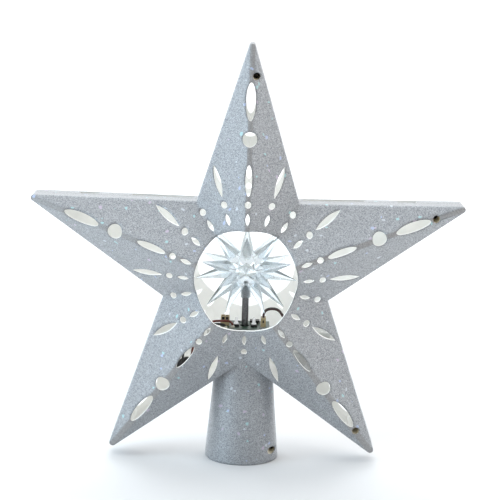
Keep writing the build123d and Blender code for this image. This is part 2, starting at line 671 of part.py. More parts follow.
# Gearbox: a tray with floor and wall, and a flat cover that carries the board
CASE_LUG_REACH = CASE_RADIUS + CASE_LUG_RADIUS / 2
MOTOR_LUG_REACH = MOTOR_END_RADIUS + CASE_LUG_RADIUS / 2
CASE_SCREW_PLACES = [
    (-CASE_LUG_REACH * cos(radians(CASE_LUG_ANGLE)), side * CASE_LUG_REACH * sin(radians(CASE_LUG_ANGLE)))
    for side in (-1, 1)
] + [
    (
        MOTOR_X + MOTOR_LUG_REACH * cos(radians(MOTOR_LUG_ANGLE)),
        side * MOTOR_LUG_REACH * sin(radians(MOTOR_LUG_ANGLE)),
    )
    for side in (-1, 1)
]
MOTOR_SCREW_PLACES = [(MOTOR_X, -MOTOR_SCREW_SPREAD), (MOTOR_X, MOTOR_SCREW_SPREAD)]
BOARD_SCREW_PLACES = [
    (x_share * BOARD_WIDTH, y_share * BOARD_DEPTH)
    for x_share, y_share in zip(BOARD_SCREW_X_SHARES, BOARD_SCREW_Y_SHARES)
]


def case_outline(inset):
    """The gearbox seen from above, inset from its outer face."""
    with BuildSketch() as ends:
        with Locations((0, 0), (FIRST_X, 0)):
            RegularPolygon(CASE_RADIUS - inset, CASE_SIDES)
        with Locations((MOTOR_X, 0)):
            RegularPolygon(MOTOR_END_RADIUS - inset, CASE_SIDES)
    with BuildSketch() as outline:
        make_hull(ends.sketch.edges())
    return outline.sketch


CASE_OUTSIDE = case_outline(0)
CASE_INSIDE = case_outline(CASE_WALL)
with BuildPart() as gearbox_tray:
    with BuildSketch(Plane.XY.offset(TRAY_Z)):
        add(CASE_OUTSIDE)
        with Locations(*CASE_SCREW_PLACES):
            RegularPolygon(CASE_LUG_RADIUS, SMALL_SIDES)
    extrude(amount=COVER_Z - TRAY_Z)
    with BuildSketch(STAR_PLANE.offset(-EAR_BACK)):
        with Locations((EAR_ENDS[0], TRAY_Z - STAR_HEIGHT)):
            Rectangle(LEFT_EAR_REACH + CASE_WALL, COVER_Z - TRAY_Z, align=Align.MIN)
        with Locations((EAR_ENDS[1], TRAY_Z - STAR_HEIGHT)):
            Rectangle(RIGHT_EAR_REACH + CASE_WALL, COVER_Z - TRAY_Z, align=(Align.MAX, Align.MIN))
    extrude(amount=EAR_THICKNESS)
    with BuildSketch(Plane.XY.offset(FLOOR_Z)):
        add(CASE_INSIDE)
    extrude(amount=CASE_HEIGHT, mode=Mode.SUBTRACT)
    with BuildSketch(STAR_PLANE.offset(-EAR_BACK)):
        with Locations(*[(x, EAR_Z - STAR_HEIGHT) for x in EAR_PLACES]):
            RegularPolygon(SMALL_SCREW_RADIUS + FIT_GAP, TINY_SIDES)
    extrude(amount=EAR_THICKNESS, mode=Mode.SUBTRACT)
    with BuildSketch(Plane.XY.offset(COVER_Z)):
        with Locations(*CASE_SCREW_PLACES):
            RegularPolygon(SMALL_SCREW_RADIUS + PRESS_GAP, TINY_SIDES)
    extrude(amount=-CASE_SCREW_BITE - PILOT_SPARE, mode=Mode.SUBTRACT)
    with BuildSketch(Plane.XY.offset(FLOOR_Z)):
        Circle(SHAFT_STUB_RADIUS + FIT_GAP)
        with Locations((SECOND_X, 0), (FIRST_X, 0)):
            RegularPolygon(GEAR_PIN_RADIUS + PRESS_GAP, SMALL_SIDES, major_radius=False)
        with Locations((MOTOR_X, 0)):
            RegularPolygon(MOTOR_NOSE_RADIUS + FIT_GAP, MIDDLE_SIDES)
        with Locations(*MOTOR_SCREW_PLACES):
            RegularPolygon(SMALL_SCREW_RADIUS + FIT_GAP, TINY_SIDES)
    extrude(amount=-PLATE, mode=Mode.SUBTRACT)
gearbox_tray.part.label = "gearbox_tray"
export_step(gearbox_tray.part, "parts/gearbox_tray.step")

with BuildPart() as gearbox_cover:
    with BuildSketch(Plane.XY.offset(COVER_Z)):
        add(CASE_OUTSIDE)
        with Locations(*CASE_SCREW_PLACES):
            RegularPolygon(CASE_LUG_RADIUS, SMALL_SIDES)
    extrude(amount=PLATE)
    with BuildSketch(Plane.XY.offset(COVER_TOP_Z)):
        with Locations(*BOARD_SCREW_PLACES):
            RegularPolygon(STANDOFF_RADIUS, SMALL_SIDES)
    extrude(amount=BOARD_STANDOFF)
    with BuildSketch(Plane.XY.offset(COVER_Z)):
        RegularPolygon(BUSH_RADIUS + PRESS_GAP, MIDDLE_SIDES)
        with Locations((SECOND_X, 0), (FIRST_X, 0)):
            RegularPolygon(GEAR_PIN_RADIUS + PRESS_GAP, SMALL_SIDES, major_radius=False)
        with Locations(*CASE_SCREW_PLACES):
            RegularPolygon(SMALL_SCREW_RADIUS + FIT_GAP, TINY_SIDES)
        with Locations(*BOARD_SCREW_PLACES):
            RegularPolygon(SMALL_SCREW_RADIUS + PRESS_GAP, TINY_SIDES)
    extrude(amount=PLATE + BOARD_STANDOFF, mode=Mode.SUBTRACT)
gearbox_cover.part.label = "gearbox_cover"
export_step(gearbox_cover.part, "parts/gearbox_cover.step")

with BuildPart() as shaft_bush:
    with BuildSketch(Plane.XY.offset(COVER_Z)):
        RegularPolygon(BUSH_RADIUS, MIDDLE_SIDES)
    extrude(amount=PLATE)
    with BuildSketch(Plane.XY.offset(COVER_TOP_Z)):
        RegularPolygon(BUSH_FLANGE_RADIUS, MIDDLE_SIDES)
    extrude(amount=BUSH_FLANGE_HEIGHT)
    with BuildSketch(Plane.XY.offset(COVER_Z)):
        Circle(SHAFT_RADIUS + FIT_GAP)
    extrude(amount=PLATE + BUSH_FLANGE_HEIGHT, mode=Mode.SUBTRACT)
shaft_bush.part.label = "shaft_bush"
export_step(shaft_bush.part, "parts/shaft_bush.step")

SMALL_SCREWS = {
    "gearbox_screws": (Plane.XY.offset(COVER_TOP_Z), CASE_SCREW_PLACES, PLATE + CASE_SCREW_BITE),
    "motor_screws": (Plane.XY.offset(FLOOR_Z), MOTOR_SCREW_PLACES, PLATE + MOTOR_SCREW_BITE),
    "board_screws": (
        Plane.XY.offset(BOARD_TOP_Z),
        BOARD_SCREW_PLACES,
        BOARD_THICKNESS + BOARD_STANDOFF + PLATE,
    ),
    "mounting_screws": (
        STAR_PLANE.offset(-EAR_NEAR),
        [(x, EAR_Z - STAR_HEIGHT) for x in EAR_PLACES],
        EAR_THICKNESS + CASE_SCREW_BITE,
    ),
}
for screw_name, (seat, places, length) in SMALL_SCREWS.items():
    screw_part = pan_screw(
        seat, places, SMALL_HEAD_RADIUS, SMALL_HEAD_HEIGHT, SMALL_SCREW_RADIUS, length
    )
    screw_part.label = screw_name
    export_step(screw_part, f"parts/{screw_name}.step")

# Motor, hung below the tray's far end
MOTOR_BOTTOM_Z = TRAY_Z - MOTOR_LENGTH
with BuildPart() as motor_can:
    with BuildSketch(Plane((MOTOR_X, 0, MOTOR_BOTTOM_Z))):
        Circle(MOTOR_RADIUS)
    extrude(amount=MOTOR_LENGTH)
    chamfer(motor_can.edges().filter_by(GeomType.CIRCLE).sort_by(Axis.Z)[-1], MOTOR_BEVEL)
    with BuildSketch(Plane((MOTOR_X, 0, TRAY_Z))):
        RegularPolygon(MOTOR_NOSE_RADIUS, MIDDLE_SIDES)
    extrude(amount=MOTOR_NOSE_HEIGHT)
    with BuildSketch(Plane((MOTOR_X, 0, TRAY_Z + MOTOR_NOSE_HEIGHT))):
        Circle(MOTOR_SHAFT_RADIUS + FIT_GAP)
    extrude(amount=-MOTOR_SHAFT_DEPTH - MOTOR_NOSE_HEIGHT, mode=Mode.SUBTRACT)
    with BuildSketch(Plane.XY.offset(TRAY_Z)):
        with Locations(*MOTOR_SCREW_PLACES):
            RegularPolygon(SMALL_SCREW_RADIUS + PRESS_GAP, TINY_SIDES)
    extrude(amount=-MOTOR_SCREW_BITE - PILOT_SPARE, mode=Mode.SUBTRACT)
motor_can.part.label = "motor_can"
export_step(motor_can.part, "parts/motor_can.step")

with BuildPart() as motor_cap:
    with BuildSketch(Plane((MOTOR_X, 0, MOTOR_BOTTOM_Z - MOTOR_CAP_HEIGHT))):
        RegularPolygon(MOTOR_CAP_RADIUS, LARGE_SIDES)
    extrude(amount=MOTOR_CAP_HEIGHT)
motor_cap.part.label = "motor_cap"
export_step(motor_cap.part, "parts/motor_cap.step")

# Solder tags on the cap's rear side
TERMINAL_Z = MOTOR_BOTTOM_Z - MOTOR_CAP_HEIGHT / 2
TERMINAL_PLACES = [(MOTOR_X - TERMINAL_SPREAD, TERMINAL_Z), (MOTOR_X + TERMINAL_SPREAD, TERMINAL_Z)]
with BuildPart() as motor_terminals:
    with BuildSketch(Plane.XZ.offset(TERMINAL_SPREAD - MOTOR_CAP_RADIUS)):
        with Locations(*TERMINAL_PLACES):
            Rectangle(TERMINAL_WIDTH, TERMINAL_THICKNESS)
    extrude(amount=-TERMINAL_REACH - TERMINAL_SPREAD)
    add(motor_cap.part, mode=Mode.SUBTRACT)
motor_terminals.part.label = "motor_terminals"
export_step(motor_terminals.part, "parts/motor_terminals.step")

MOTOR_SHAFT_Z = TRAY_Z - MOTOR_SHAFT_DEPTH + END_GAP
with BuildPart() as motor_shaft:
    with BuildSketch(Plane((MOTOR_X, 0, MOTOR_SHAFT_Z))):
        Circle(MOTOR_SHAFT_RADIUS)
    extrude(amount=LOW_LAYER_Z + GEAR_FACE - MOTOR_SHAFT_Z)
motor_shaft.part.label = "motor_shaft"
export_step(motor_shaft.part, "parts/motor_shaft.step")

MOTOR_PINION = toothed(PINION_TEETH, MOTOR_X, LOW_LAYER_Z, GEAR_FACE)
with BuildPart() as motor_pinion:
    add(MOTOR_PINION)
    with BuildSketch(Plane((MOTOR_X, 0, LOW_LAYER_Z))):
        RegularPolygon(MOTOR_SHAFT_RADIUS + PRESS_GAP, SMALL_SIDES, major_radius=False)
    extrude(amount=GEAR_FACE, mode=Mode.SUBTRACT)
motor_pinion.part.label = "motor_pinion"
export_step(motor_pinion.part, "parts/motor_pinion.step")

# Circuit board and what stands on it
with BuildPart() as circuit_board:
    with BuildSketch(Plane.XY.offset(BOARD_Z)):
        Rectangle(BOARD_WIDTH, BOARD_DEPTH)
        RegularPolygon(SHAFT_RADIUS + BOARD_SHAFT_GAP, MIDDLE_SIDES, mode=Mode.SUBTRACT)
        with Locations(*BOARD_SCREW_PLACES):
            RegularPolygon(SMALL_SCREW_RADIUS + FIT_GAP, TINY_SIDES, mode=Mode.SUBTRACT)
    extrude(amount=BOARD_THICKNESS)
circuit_board.part.label = "circuit_board"
export_step(circuit_board.part, "parts/circuit_board.step")

LED_PLACES = [(x_share * BOARD_WIDTH, 0) for x_share in LED_X_SHARES]
LED_Z = BOARD_TOP_Z + LEAD_RISE
with BuildPart() as leds:
    with BuildSketch(Plane.XY.offset(LED_Z)):
        with Locations(*LED_PLACES):
            RegularPolygon(LED_RADIUS, SMALL_SIDES)
    extrude(amount=LED_HEIGHT)
    chamfer(leds.edges().group_by(Axis.Z)[-1], LED_DOME)
    with BuildSketch(Plane.XY.offset(LED_Z)):
        with Locations(*LED_PLACES):
            RegularPolygon(LED_RIM_RADIUS, SMALL_SIDES)
    extrude(amount=LED_RIM_HEIGHT)
leds.part.label = "leds"
export_step(leds.part, "parts/leds.step")

with BuildPart() as led_leads:
    with BuildSketch(Plane.XY.offset(BOARD_TOP_Z)):
        with Locations(*[(x + side * LEAD_SPREAD, y) for x, y in LED_PLACES for side in (-1, 1)]):
            Rectangle(LEAD_WIDTH, LEAD_WIDTH)
    extrude(amount=LEAD_RISE)
led_leads.part.label = "led_leads"
export_step(led_leads.part, "parts/led_leads.step")

# Two-pin header at the left: an open box with a divider between its pins
HEADER_X = HEADER_X_SHARE * BOARD_WIDTH
HEADER_PIN_PLACES = [(HEADER_X - HEADER_PIN_SPREAD, 0), (HEADER_X + HEADER_PIN_SPREAD, 0)]
HEADER_POCKET = (HEADER_WIDTH - 3 * HEADER_WALL) / 2
with BuildPart() as header_housing:
    with BuildSketch(Plane((HEADER_X, 0, BOARD_TOP_Z))):
        Rectangle(HEADER_WIDTH, HEADER_DEPTH)
    extrude(amount=HEADER_HEIGHT)
    with BuildSketch(Plane.XY.offset(BOARD_TOP_Z + HEADER_FLOOR)):
        with Locations(*HEADER_PIN_PLACES):
            Rectangle(HEADER_POCKET, HEADER_DEPTH - 2 * HEADER_WALL)
    extrude(amount=HEADER_HEIGHT, mode=Mode.SUBTRACT)
header_housing.part.label = "header_housing"
export_step(header_housing.part, "parts/header_housing.step")

with BuildPart() as header_pins:
    with BuildSketch(Plane.XY.offset(BOARD_TOP_Z + HEADER_FLOOR)):
        with Locations(*HEADER_PIN_PLACES):
            Rectangle(HEADER_PIN_WIDTH, HEADER_PIN_WIDTH)
    extrude(amount=HEADER_PIN_HEIGHT)
header_pins.part.label = "header_pins"
export_step(header_pins.part, "parts/header_pins.step")

# Motor plug at the right, with ribs to grip
PLUG_X = PLUG_X_SHARE * BOARD_WIDTH
with BuildPart() as motor_plug:
    with BuildSketch(Plane((PLUG_X, 0, BOARD_TOP_Z))):
        Rectangle(PLUG_WIDTH, PLUG_DEPTH)
    extrude(amount=PLUG_HEIGHT)
    with BuildSketch(Plane((PLUG_X, 0, BOARD_TOP_Z))):
        with Locations((0, -PLUG_DEPTH / 2), (0, PLUG_DEPTH / 2)):
            Rectangle(PLUG_WIDTH, 2 * PLUG_RIB)
    extrude(amount=PLUG_RIB_HEIGHT)
motor_plug.part.label = "motor_plug"
export_step(motor_plug.part, "parts/motor_plug.step")

# Controller chip with its legs, and a resistor before each lamp
CHIP_X = CHIP_X_SHARE * BOARD_WIDTH
CHIP_Y = CHIP_Y_SHARE * BOARD_DEPTH
with BuildPart() as controller_chip:
    with BuildSketch(Plane((CHIP_X, CHIP_Y, BOARD_TOP_Z))):
        Rectangle(CHIP_WIDTH, CHIP_DEPTH)
    extrude(amount=CHIP_HEIGHT)
controller_chip.part.label = "controller_chip"
export_step(controller_chip.part, "parts/controller_chip.step")

with BuildPart() as chip_legs:
    with BuildSketch(Plane((CHIP_X, CHIP_Y, BOARD_TOP_Z))):
        for side in (-1, 1):
            with Locations((0, side * (CHIP_DEPTH + CHIP_LEG_REACH) / 2)):
                with GridLocations(CHIP_LEG_PITCH, 0, CHIP_LEG_COUNT, 1):
                    Rectangle(CHIP_LEG_WIDTH, CHIP_LEG_REACH)
    extrude(amount=CHIP_LEG_HEIGHT)
chip_legs.part.label = "chip_legs"
export_step(chip_legs.part, "parts/chip_legs.step")

with BuildPart() as resistors:
    with BuildSketch(Plane.XY.offset(BOARD_TOP_Z)):
        with Locations(*[(share * BOARD_WIDTH, RESISTOR_Y_SHARE * BOARD_DEPTH) for share in LED_X_SHARES]):
            Rectangle(RESISTOR_WIDTH, RESISTOR_DEPTH)
    extrude(amount=RESISTOR_HEIGHT)
resistors.part.label = "resistors"
export_step(resistors.part, "parts/resistors.step")

# Power inlet, pushed into its boss from inside and open to the rear
INLET_PLANE = STAR_PLANE.offset(-INLET_SEAT)
with BuildPart() as power_inlet:
    with BuildSketch(INLET_PLANE):
        with Locations(INLET_PLACE):
            RegularPolygon(INLET_RADIUS, LARGE_SIDES)
    extrude(amount=-INLET_LENGTH)
    with BuildSketch(INLET_PLANE):
        with Locations(INLET_PLACE):
            RegularPolygon(INLET_FLANGE_RADIUS, LARGE_SIDES)
    extrude(amount=INLET_FLANGE_HEIGHT)
    with BuildSketch(INLET_PLANE.offset(-INLET_LENGTH)):
        with Locations(INLET_PLACE):
            RegularPolygon(INLET_BORE_RADIUS, LARGE_SIDES)
    extrude(amount=INLET_BORE_DEPTH, mode=Mode.SUBTRACT)
power_inlet.part.label = "power_inlet"
export_step(power_inlet.part, "parts/power_inlet.step")

with BuildPart() as inlet_pin:
    with BuildSketch(INLET_PLANE.offset(INLET_BORE_DEPTH - INLET_LENGTH)):
        with Locations(INLET_PLACE):
            RegularPolygon(INLET_PIN_RADIUS, SMALL_SIDES)
    extrude(amount=-INLET_PIN_LENGTH)
inlet_pin.part.label = "inlet_pin"
export_step(inlet_pin.part, "parts/inlet_pin.step")

INLET_X, INLET_RISE = INLET_PLACE
INLET_Z = STAR_HEIGHT + INLET_RISE
INLET_FRONT = INLET_SEAT - INLET_FLANGE_HEIGHT
with BuildPart() as inlet_tags:
    with BuildSketch(STAR_PLANE.offset(-INLET_FRONT)):
        with Locations((INLET_X - TAG_SPREAD, INLET_RISE), (INLET_X + TAG_SPREAD, INLET_RISE)):
            Rectangle(TAG_THICKNESS, TAG_WIDTH)
    extrude(amount=TAG_REACH)
inlet_tags.part.label = "inlet_tags"
export_step(inlet_tags.part, "parts/inlet_tags.step")

# Wires. The points between a wire's two ends are set from the board's top at the axis
BOARD_ORIGIN = Vector(0, 0, BOARD_TOP_Z)
PLUG_TOP = Vector(PLUG_X, 0, BOARD_TOP_Z + PLUG_HEIGHT)
TERMINAL_END_Y = MOTOR_CAP_RADIUS + TERMINAL_REACH
motor_strands = []
for strand_index, (terminal_x, terminal_z) in enumerate(TERMINAL_PLACES):
    start = PLUG_TOP + Vector(0, (2 * strand_index - 1) * MOTOR_WIRE_SPREAD, 0)
    end = Vector(terminal_x, TERMINAL_END_Y, terminal_z)
    loop = [start + Vector(*offset) for offset in MOTOR_WIRE_LOOP + MOTOR_WIRE_TURNS[strand_index]]
    drop = [end + Vector(*offset) for offset in MOTOR_WIRE_DROPS[strand_index]]
    motor_strands.append(wire([start, *loop, *drop, end]))
with BuildPart() as motor_wires:
    add(motor_strands)
motor_wires.part.label = "motor_wires"
export_step(motor_wires.part, "parts/motor_wires.step")

TAG_END_Y = INLET_FRONT - TAG_REACH
for wire_name, route, tag_x in (
    ("supply_wire_red", RED_WIRE_ROUTE, INLET_X + TAG_SPREAD),
    ("supply_wire_black", BLACK_WIRE_ROUTE, INLET_X - TAG_SPREAD),
):
    tag_end = Vector(tag_x, TAG_END_Y, INLET_Z)
    approach = [tag_end + Vector(*offset) for offset in SUPPLY_WIRE_APPROACH]
    leaving = [BOARD_ORIGIN + Vector(*place) for place in route]
    supply_wire = wire([*leaving, *approach, tag_end])
    supply_wire.label = wire_name
    export_step(supply_wire, f"parts/{wire_name}.step")
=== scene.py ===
"""Looks for the tree topper star: glittered shells, clear prism, wired board and studio."""

from math import atan, cos, pi, radians, sin

import bmesh
import bpy
from mathutils import Matrix, Vector


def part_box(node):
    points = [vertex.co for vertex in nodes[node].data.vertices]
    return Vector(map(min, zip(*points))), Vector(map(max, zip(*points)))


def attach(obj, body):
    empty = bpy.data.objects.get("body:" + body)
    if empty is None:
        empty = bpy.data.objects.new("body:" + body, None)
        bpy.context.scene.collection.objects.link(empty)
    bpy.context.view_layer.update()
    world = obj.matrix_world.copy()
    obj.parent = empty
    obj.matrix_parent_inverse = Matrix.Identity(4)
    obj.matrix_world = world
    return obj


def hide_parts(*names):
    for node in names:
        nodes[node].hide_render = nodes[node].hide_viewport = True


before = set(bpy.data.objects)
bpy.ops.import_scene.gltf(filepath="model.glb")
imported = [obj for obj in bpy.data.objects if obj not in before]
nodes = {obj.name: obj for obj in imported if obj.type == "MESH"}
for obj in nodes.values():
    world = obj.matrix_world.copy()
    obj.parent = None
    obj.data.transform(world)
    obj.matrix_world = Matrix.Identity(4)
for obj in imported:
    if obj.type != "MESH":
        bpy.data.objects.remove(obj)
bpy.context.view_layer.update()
MM = 0.001

# Star sizes in millimetres and degrees, as in the solids.
# The straight edges of an arm would meet at its apex, a little past the rounded tip.
POINTS = 5
STAR_HEIGHT = 98.0
TIP_RADIUS = 114.0
APEX_SHARE = 1.031
RIM_DEPTH = 8.7
SHELL_WALL = 1.8
RIM_SLOT_SIDES = (2.2, 7.4)
NECK_FOOT_RADIUS = 18.8
NECK_TOP_RADIUS = 14.2
RAYS_PER_POINT = 4
TOP_ANGLE = 90
BOTTOM_ANGLE = 270
ARM_ANGLE = 360 / POINTS
RAY_ANGLE = ARM_ANGLE / RAYS_PER_POINT
APEX_RADIUS = APEX_SHARE * TIP_RADIUS
CORNER_RADIUS = TIP_RADIUS * cos(radians(ARM_ANGLE)) / cos(radians(ARM_ANGLE / 2))
CORNER_ALONG = CORNER_RADIUS * cos(radians(ARM_ANGLE / 2))
CORNER_ACROSS = CORNER_RADIUS * sin(radians(ARM_ANGLE / 2))
EDGE_DISTANCE = APEX_RADIUS * sin(atan(CORNER_ACROSS / (APEX_RADIUS - CORNER_ALONG)))
NECK_SLOPE = (NECK_FOOT_RADIUS - NECK_TOP_RADIUS) / (STAR_HEIGHT - CORNER_RADIUS)
STAR_CENTRE = Vector((0, 0, STAR_HEIGHT)) * MM

# Perforations: place on the ray as a share of the tip radius, length, width and form of the ends
SMALL_SLOT = (0.271, 5.7, 2.1, "pointed")
SMALL_HOLE = (0.3316, 3.1, 3.1, "round")
RIDGE_SLOT = (0.43, 14.6, 3.3, "round")
FLANK_SLOT = (0.43, 15.2, 3.0, "pointed")
LARGE_HOLE = (0.599, 7.1, 7.1, "round")
LARGE_SLOT = (0.756, 18.2, 4.85, "round")

# Their cutter: sides of an outline, how far it goes past the solids' holes, and half its depth
HOLE_SIDES = 48
HOLE_TRIM = 0.03
CUT_REACH = 60.0

# How a shell's faces are told apart: distances in millimetres, and shares of a face's normal
RIM_TOLERANCE = 0.4
RECESS_DEPTH = 6.0
RECESS_REACH = 2.4
NECK_REACH = 19.5
TIP_REACH = 104.0
SLOT_WALL_LEAST = 0.9
RECESS_WALL_MOST = 0.5
FACET_LEAST = 0.2
RIDGE_LEAST = 0.9
NECK_LEAST = 0.08
NECK_SIDE_MOST = 0.5

# Edges sharper than these angles in degrees stay sharp
SHELL_SHARP = 20
TURNED_SHARP = 35

# Camera as fitted to the photograph: distance in millimetres, clipping in metres
CAMERA_YAW = radians(0.108)
CAMERA_PITCH = radians(11.291)
CAMERA_ROLL = radians(1.636)
CAMERA_DISTANCE = 850.1
PHOTO_SIDE = 500
FOCAL_PIXELS = 1697.5
SHIFT_PIXELS = (3.8, 22.2)
SENSOR = 36.0
CLIP_START = 0.01
CLIP_END = 100.0

# Materials: sockets of a colour Mix node, which has several of the same name
MIX_FACTOR, MIX_FIRST, MIX_SECOND, MIX_RESULT = 0, 6, 7, 2
WHITE = (1, 1, 1, 1)


def feed(tree, socket, value):
    """A link or a fixed value put into a socket."""
    if isinstance(value, bpy.types.NodeSocket):
        tree.links.new(value, socket)
    else:
        socket.default_value = value


def fill(tree, node, **sockets):
    """A node's sockets fed by their names, in which _ stands for a space."""
    for name, value in sockets.items():
        feed(tree, node.inputs[name.replace("_", " ")], value)


def add_node(tree, kind, settings=None, **sockets):
    """A node with its settings made and its sockets fed."""
    node = tree.nodes.new(kind)
    for setting, value in (settings or {}).items():
        setattr(node, setting, value)
    fill(tree, node, **sockets)
    return node


def new_material(name, colour, roughness, **sockets):
    """A principled material, with its tree and shader for further nodes."""
    material = bpy.data.materials.new(name)
    material.use_nodes = True
    tree = material.node_tree
    shader = tree.nodes["Principled BSDF"]
    fill(tree, shader, Base_Color=(*colour, 1), Roughness=roughness, **sockets)
    return material, tree, shader


def place_of(tree):
    """The point on the piece, in metres."""
    return add_node(tree, "ShaderNodeTexCoord").outputs["Object"]


def ramp(tree, factor, stops, interpolation="LINEAR"):
    """A colour ramp through (position, colour) stops."""
    node = add_node(tree, "ShaderNodeValToRGB", Fac=factor)
    node.color_ramp.interpolation = interpolation
    elements = node.color_ramp.elements
    while len(elements) < len(stops):
        elements.new(0.5)
    for element, (position, colour) in zip(elements, stops):
        element.position = position
        element.color = (*colour, 1)
    return node.outputs["Color"]


def mixed(tree, factor, first, second):
    """One colour laid over another by factor."""
    node = add_node(tree, "ShaderNodeMix", {"data_type": "RGBA"})
    for index, value in ((MIX_FACTOR, factor), (MIX_FIRST, first), (MIX_SECOND, second)):
        feed(tree, node.inputs[index], value)
    return node.outputs[MIX_RESULT]


def channels(tree, colour):
    """A colour's red, green and blue."""
    return add_node(tree, "ShaderNodeSeparateColor", Color=colour).outputs


def vector_math(tree, operation, *values, **sockets):
    """The results of a vector operation."""
    node = add_node(tree, "ShaderNodeVectorMath", {"operation": operation}, **sockets)
    for socket, value in zip(node.inputs, values):
        feed(tree, socket, value)
    return node.outputs


def graded(tree, value, start, end, first, last):
    """A number that goes from first to last while value goes from start to end."""
    spans = {"From_Min": start, "From_Max": end, "To_Min": first, "To_Max": last}
    return add_node(tree, "ShaderNodeMapRange", Value=value, **spans).outputs["Result"]


def cells(tree, size):
    """Irregular cells of about that size in millimetres."""
    scale = 1 / (size * MM)
    voronoi = add_node(tree, "ShaderNodeTexVoronoi", Scale=scale, Vector=place_of(tree))
    return voronoi.outputs["Color"]


CLOUD_DETAIL = 4.0


def cloud(tree, size):
    """Soft noise of about that size in millimetres."""
    scale = 1 / (size * MM)
    place = place_of(tree)
    noise = add_node(tree, "ShaderNodeTexNoise", Scale=scale, Detail=CLOUD_DETAIL, Vector=place)
    return noise.outputs["Fac"]


def bump(tree, shader, height, depth):
    """Relief of that depth in millimetres on a shader."""
    relief = add_node(tree, "ShaderNodeBump", Strength=1.0, Distance=depth * MM, Height=height)
    fill(tree, shader, Normal=relief.outputs["Normal"])


# Glitter: flakes, larger tinted spots, and a painted dark reflection along each ridge
GLITTER_ROUGHNESS = 0.45
GLITTER_METAL = 0.3
COAT_WEIGHT = 0.6
COAT_ROUGHNESS = 0.3
FLAKE_SIZE = 0.28
FLAKE_LEAN = 0.32
FLAKE_TONES = (
    (0.0, (0.17, 0.181, 0.198)),
    (0.5, (0.34, 0.355, 0.375)),
    (1.0, (0.54, 0.56, 0.585)),
)
# The ridges' tones: glitter painted darker and greyer, a painted reflection of the dark side of the
# room
RIDGE_REFLECTION_TONES = (
    (0.0, (0.24, 0.235, 0.235)),
    (0.5, (0.32, 0.315, 0.315)),
    (1.0, (0.41, 0.41, 0.415)),
)
SPOT_SIZE = 1.4
SPOT_MASK = ((0.0, (0, 0, 0)), (0.986, (1, 1, 1)))
SPOT_TONES = (
    (0.0, (0.42, 0.62, 0.64)),
    (0.35, (0.46, 0.52, 0.68)),
    (0.6, (0.54, 0.48, 0.58)),
    (0.8, (0.58, 0.62, 0.66)),
)
EDGE_ROUND = 2.0
EDGE_SAMPLES = 4
MEAN_COLOUR = (0.5, 0.5, 0.5)


def glitter_material(name, tones):
    """Fine silver flakes that lean every way, with a few larger tinted ones."""
    middle_tone = tones[1][1]
    material, tree, shader = new_material(
        name,
        middle_tone,
        GLITTER_ROUGHNESS,
        Metallic=GLITTER_METAL,
        Coat_Weight=COAT_WEIGHT,
        Coat_Roughness=COAT_ROUGHNESS,
    )
    flakes = cells(tree, FLAKE_SIZE)
    silver = ramp(tree, channels(tree, flakes)["Red"], tones)
    spots = channels(tree, cells(tree, SPOT_SIZE))
    hue = ramp(tree, spots["Green"], SPOT_TONES, "CONSTANT")
    rare = ramp(tree, spots["Red"], SPOT_MASK, "CONSTANT")
    bevel = add_node(tree, "ShaderNodeBevel", {"samples": EDGE_SAMPLES}, Radius=EDGE_ROUND * MM)
    rounded = bevel.outputs["Normal"]
    lean = vector_math(tree, "SUBTRACT", flakes, MEAN_COLOUR)["Vector"]
    lean = vector_math(tree, "SCALE", lean, Scale=FLAKE_LEAN)["Vector"]
    leaning = vector_math(tree, "ADD", rounded, lean)["Vector"]
    normal = vector_math(tree, "NORMALIZE", leaning)["Vector"]
    colour = mixed(tree, rare, silver, hue)
    fill(tree, shader, Base_Color=colour, Normal=normal, Coat_Normal=rounded)
    return material


# Plastic and metal: size of the drift in colour, where on the noise it starts and ends,
# then size and depth of the relief
MOULDED_GRAIN = (12.0, 0.35, 0.65, 0.6, 0.02)
METAL_GRAIN = (0.8, 0.3, 0.7, 0.3, 0.01)
CLEAR_GRAIN = (5.0, 0.3, 0.7, 3.0, 0.02)
MILKY_SHARE = 0.92
CLEAR_IOR = 1.28


def grained_material(name, dark, light, roughness, grain, **sockets):
    """A colour that drifts from dark to light, over a shallow relief."""
    drift_size, start, end, relief_size, relief_depth = grain
    material, tree, shader = new_material(name, light, roughness, **sockets)
    drift = ramp(tree, cloud(tree, drift_size), ((start, dark), (end, light)))
    fill(tree, shader, Base_Color=drift)
    bump(tree, shader, cloud(tree, relief_size), relief_depth)
    return material


def moulded_material(name, dark, light, roughness):
    """Moulded plastic: a slight drift in colour and a fine grain."""
    return grained_material(name, dark, light, roughness, MOULDED_GRAIN)


def metal_material(name, dark, light, roughness):
    """Drawn or turned metal with a fine streak."""
    return grained_material(name, dark, light, roughness, METAL_GRAIN, Metallic=1.0)


def clear_material(name, tint, roughness, clearness, glow=0.0):
    """Clear moulded plastic, a little milky, with faint ripples and flow marks."""
    return grained_material(
        name,
        tuple(MILKY_SHARE * share for share in tint),
        tint,
        roughness,
        CLEAR_GRAIN,
        Transmission_Weight=clearness,
        IOR=CLEAR_IOR,
        Emission_Color=WHITE,
        Emission_Strength=glow,
    )


# Painted light inside the star, a glow on its plastic: its strength near the middle and out in the
# arms, and how far each goes
CREAM_GLOW = (0.33, 0.16)
EDGE_GLOW = (0.25, 0.18)
GLOW_START = 30.0
GLOW_END = 62.0
# The lamps are not lit; their lenses' faint glow is painted light
UNLIT_LENS_GLOW = 0.18


def paint_inner_glow(material, glow):
    """A painted glow for the light that comes in by the windows and through thin walls, less of it
    out in the arms.
    """
    tree = material.node_tree
    shader = tree.nodes["Principled BSDF"]
    own_colour = tuple(shader.inputs["Base Color"].default_value)
    distance = vector_math(tree, "DISTANCE", place_of(tree), STAR_CENTRE)["Value"]
    strength = graded(tree, distance, GLOW_START * MM, GLOW_END * MM, *glow)
    fill(tree, shader, Emission_Color=own_colour, Emission_Strength=strength)


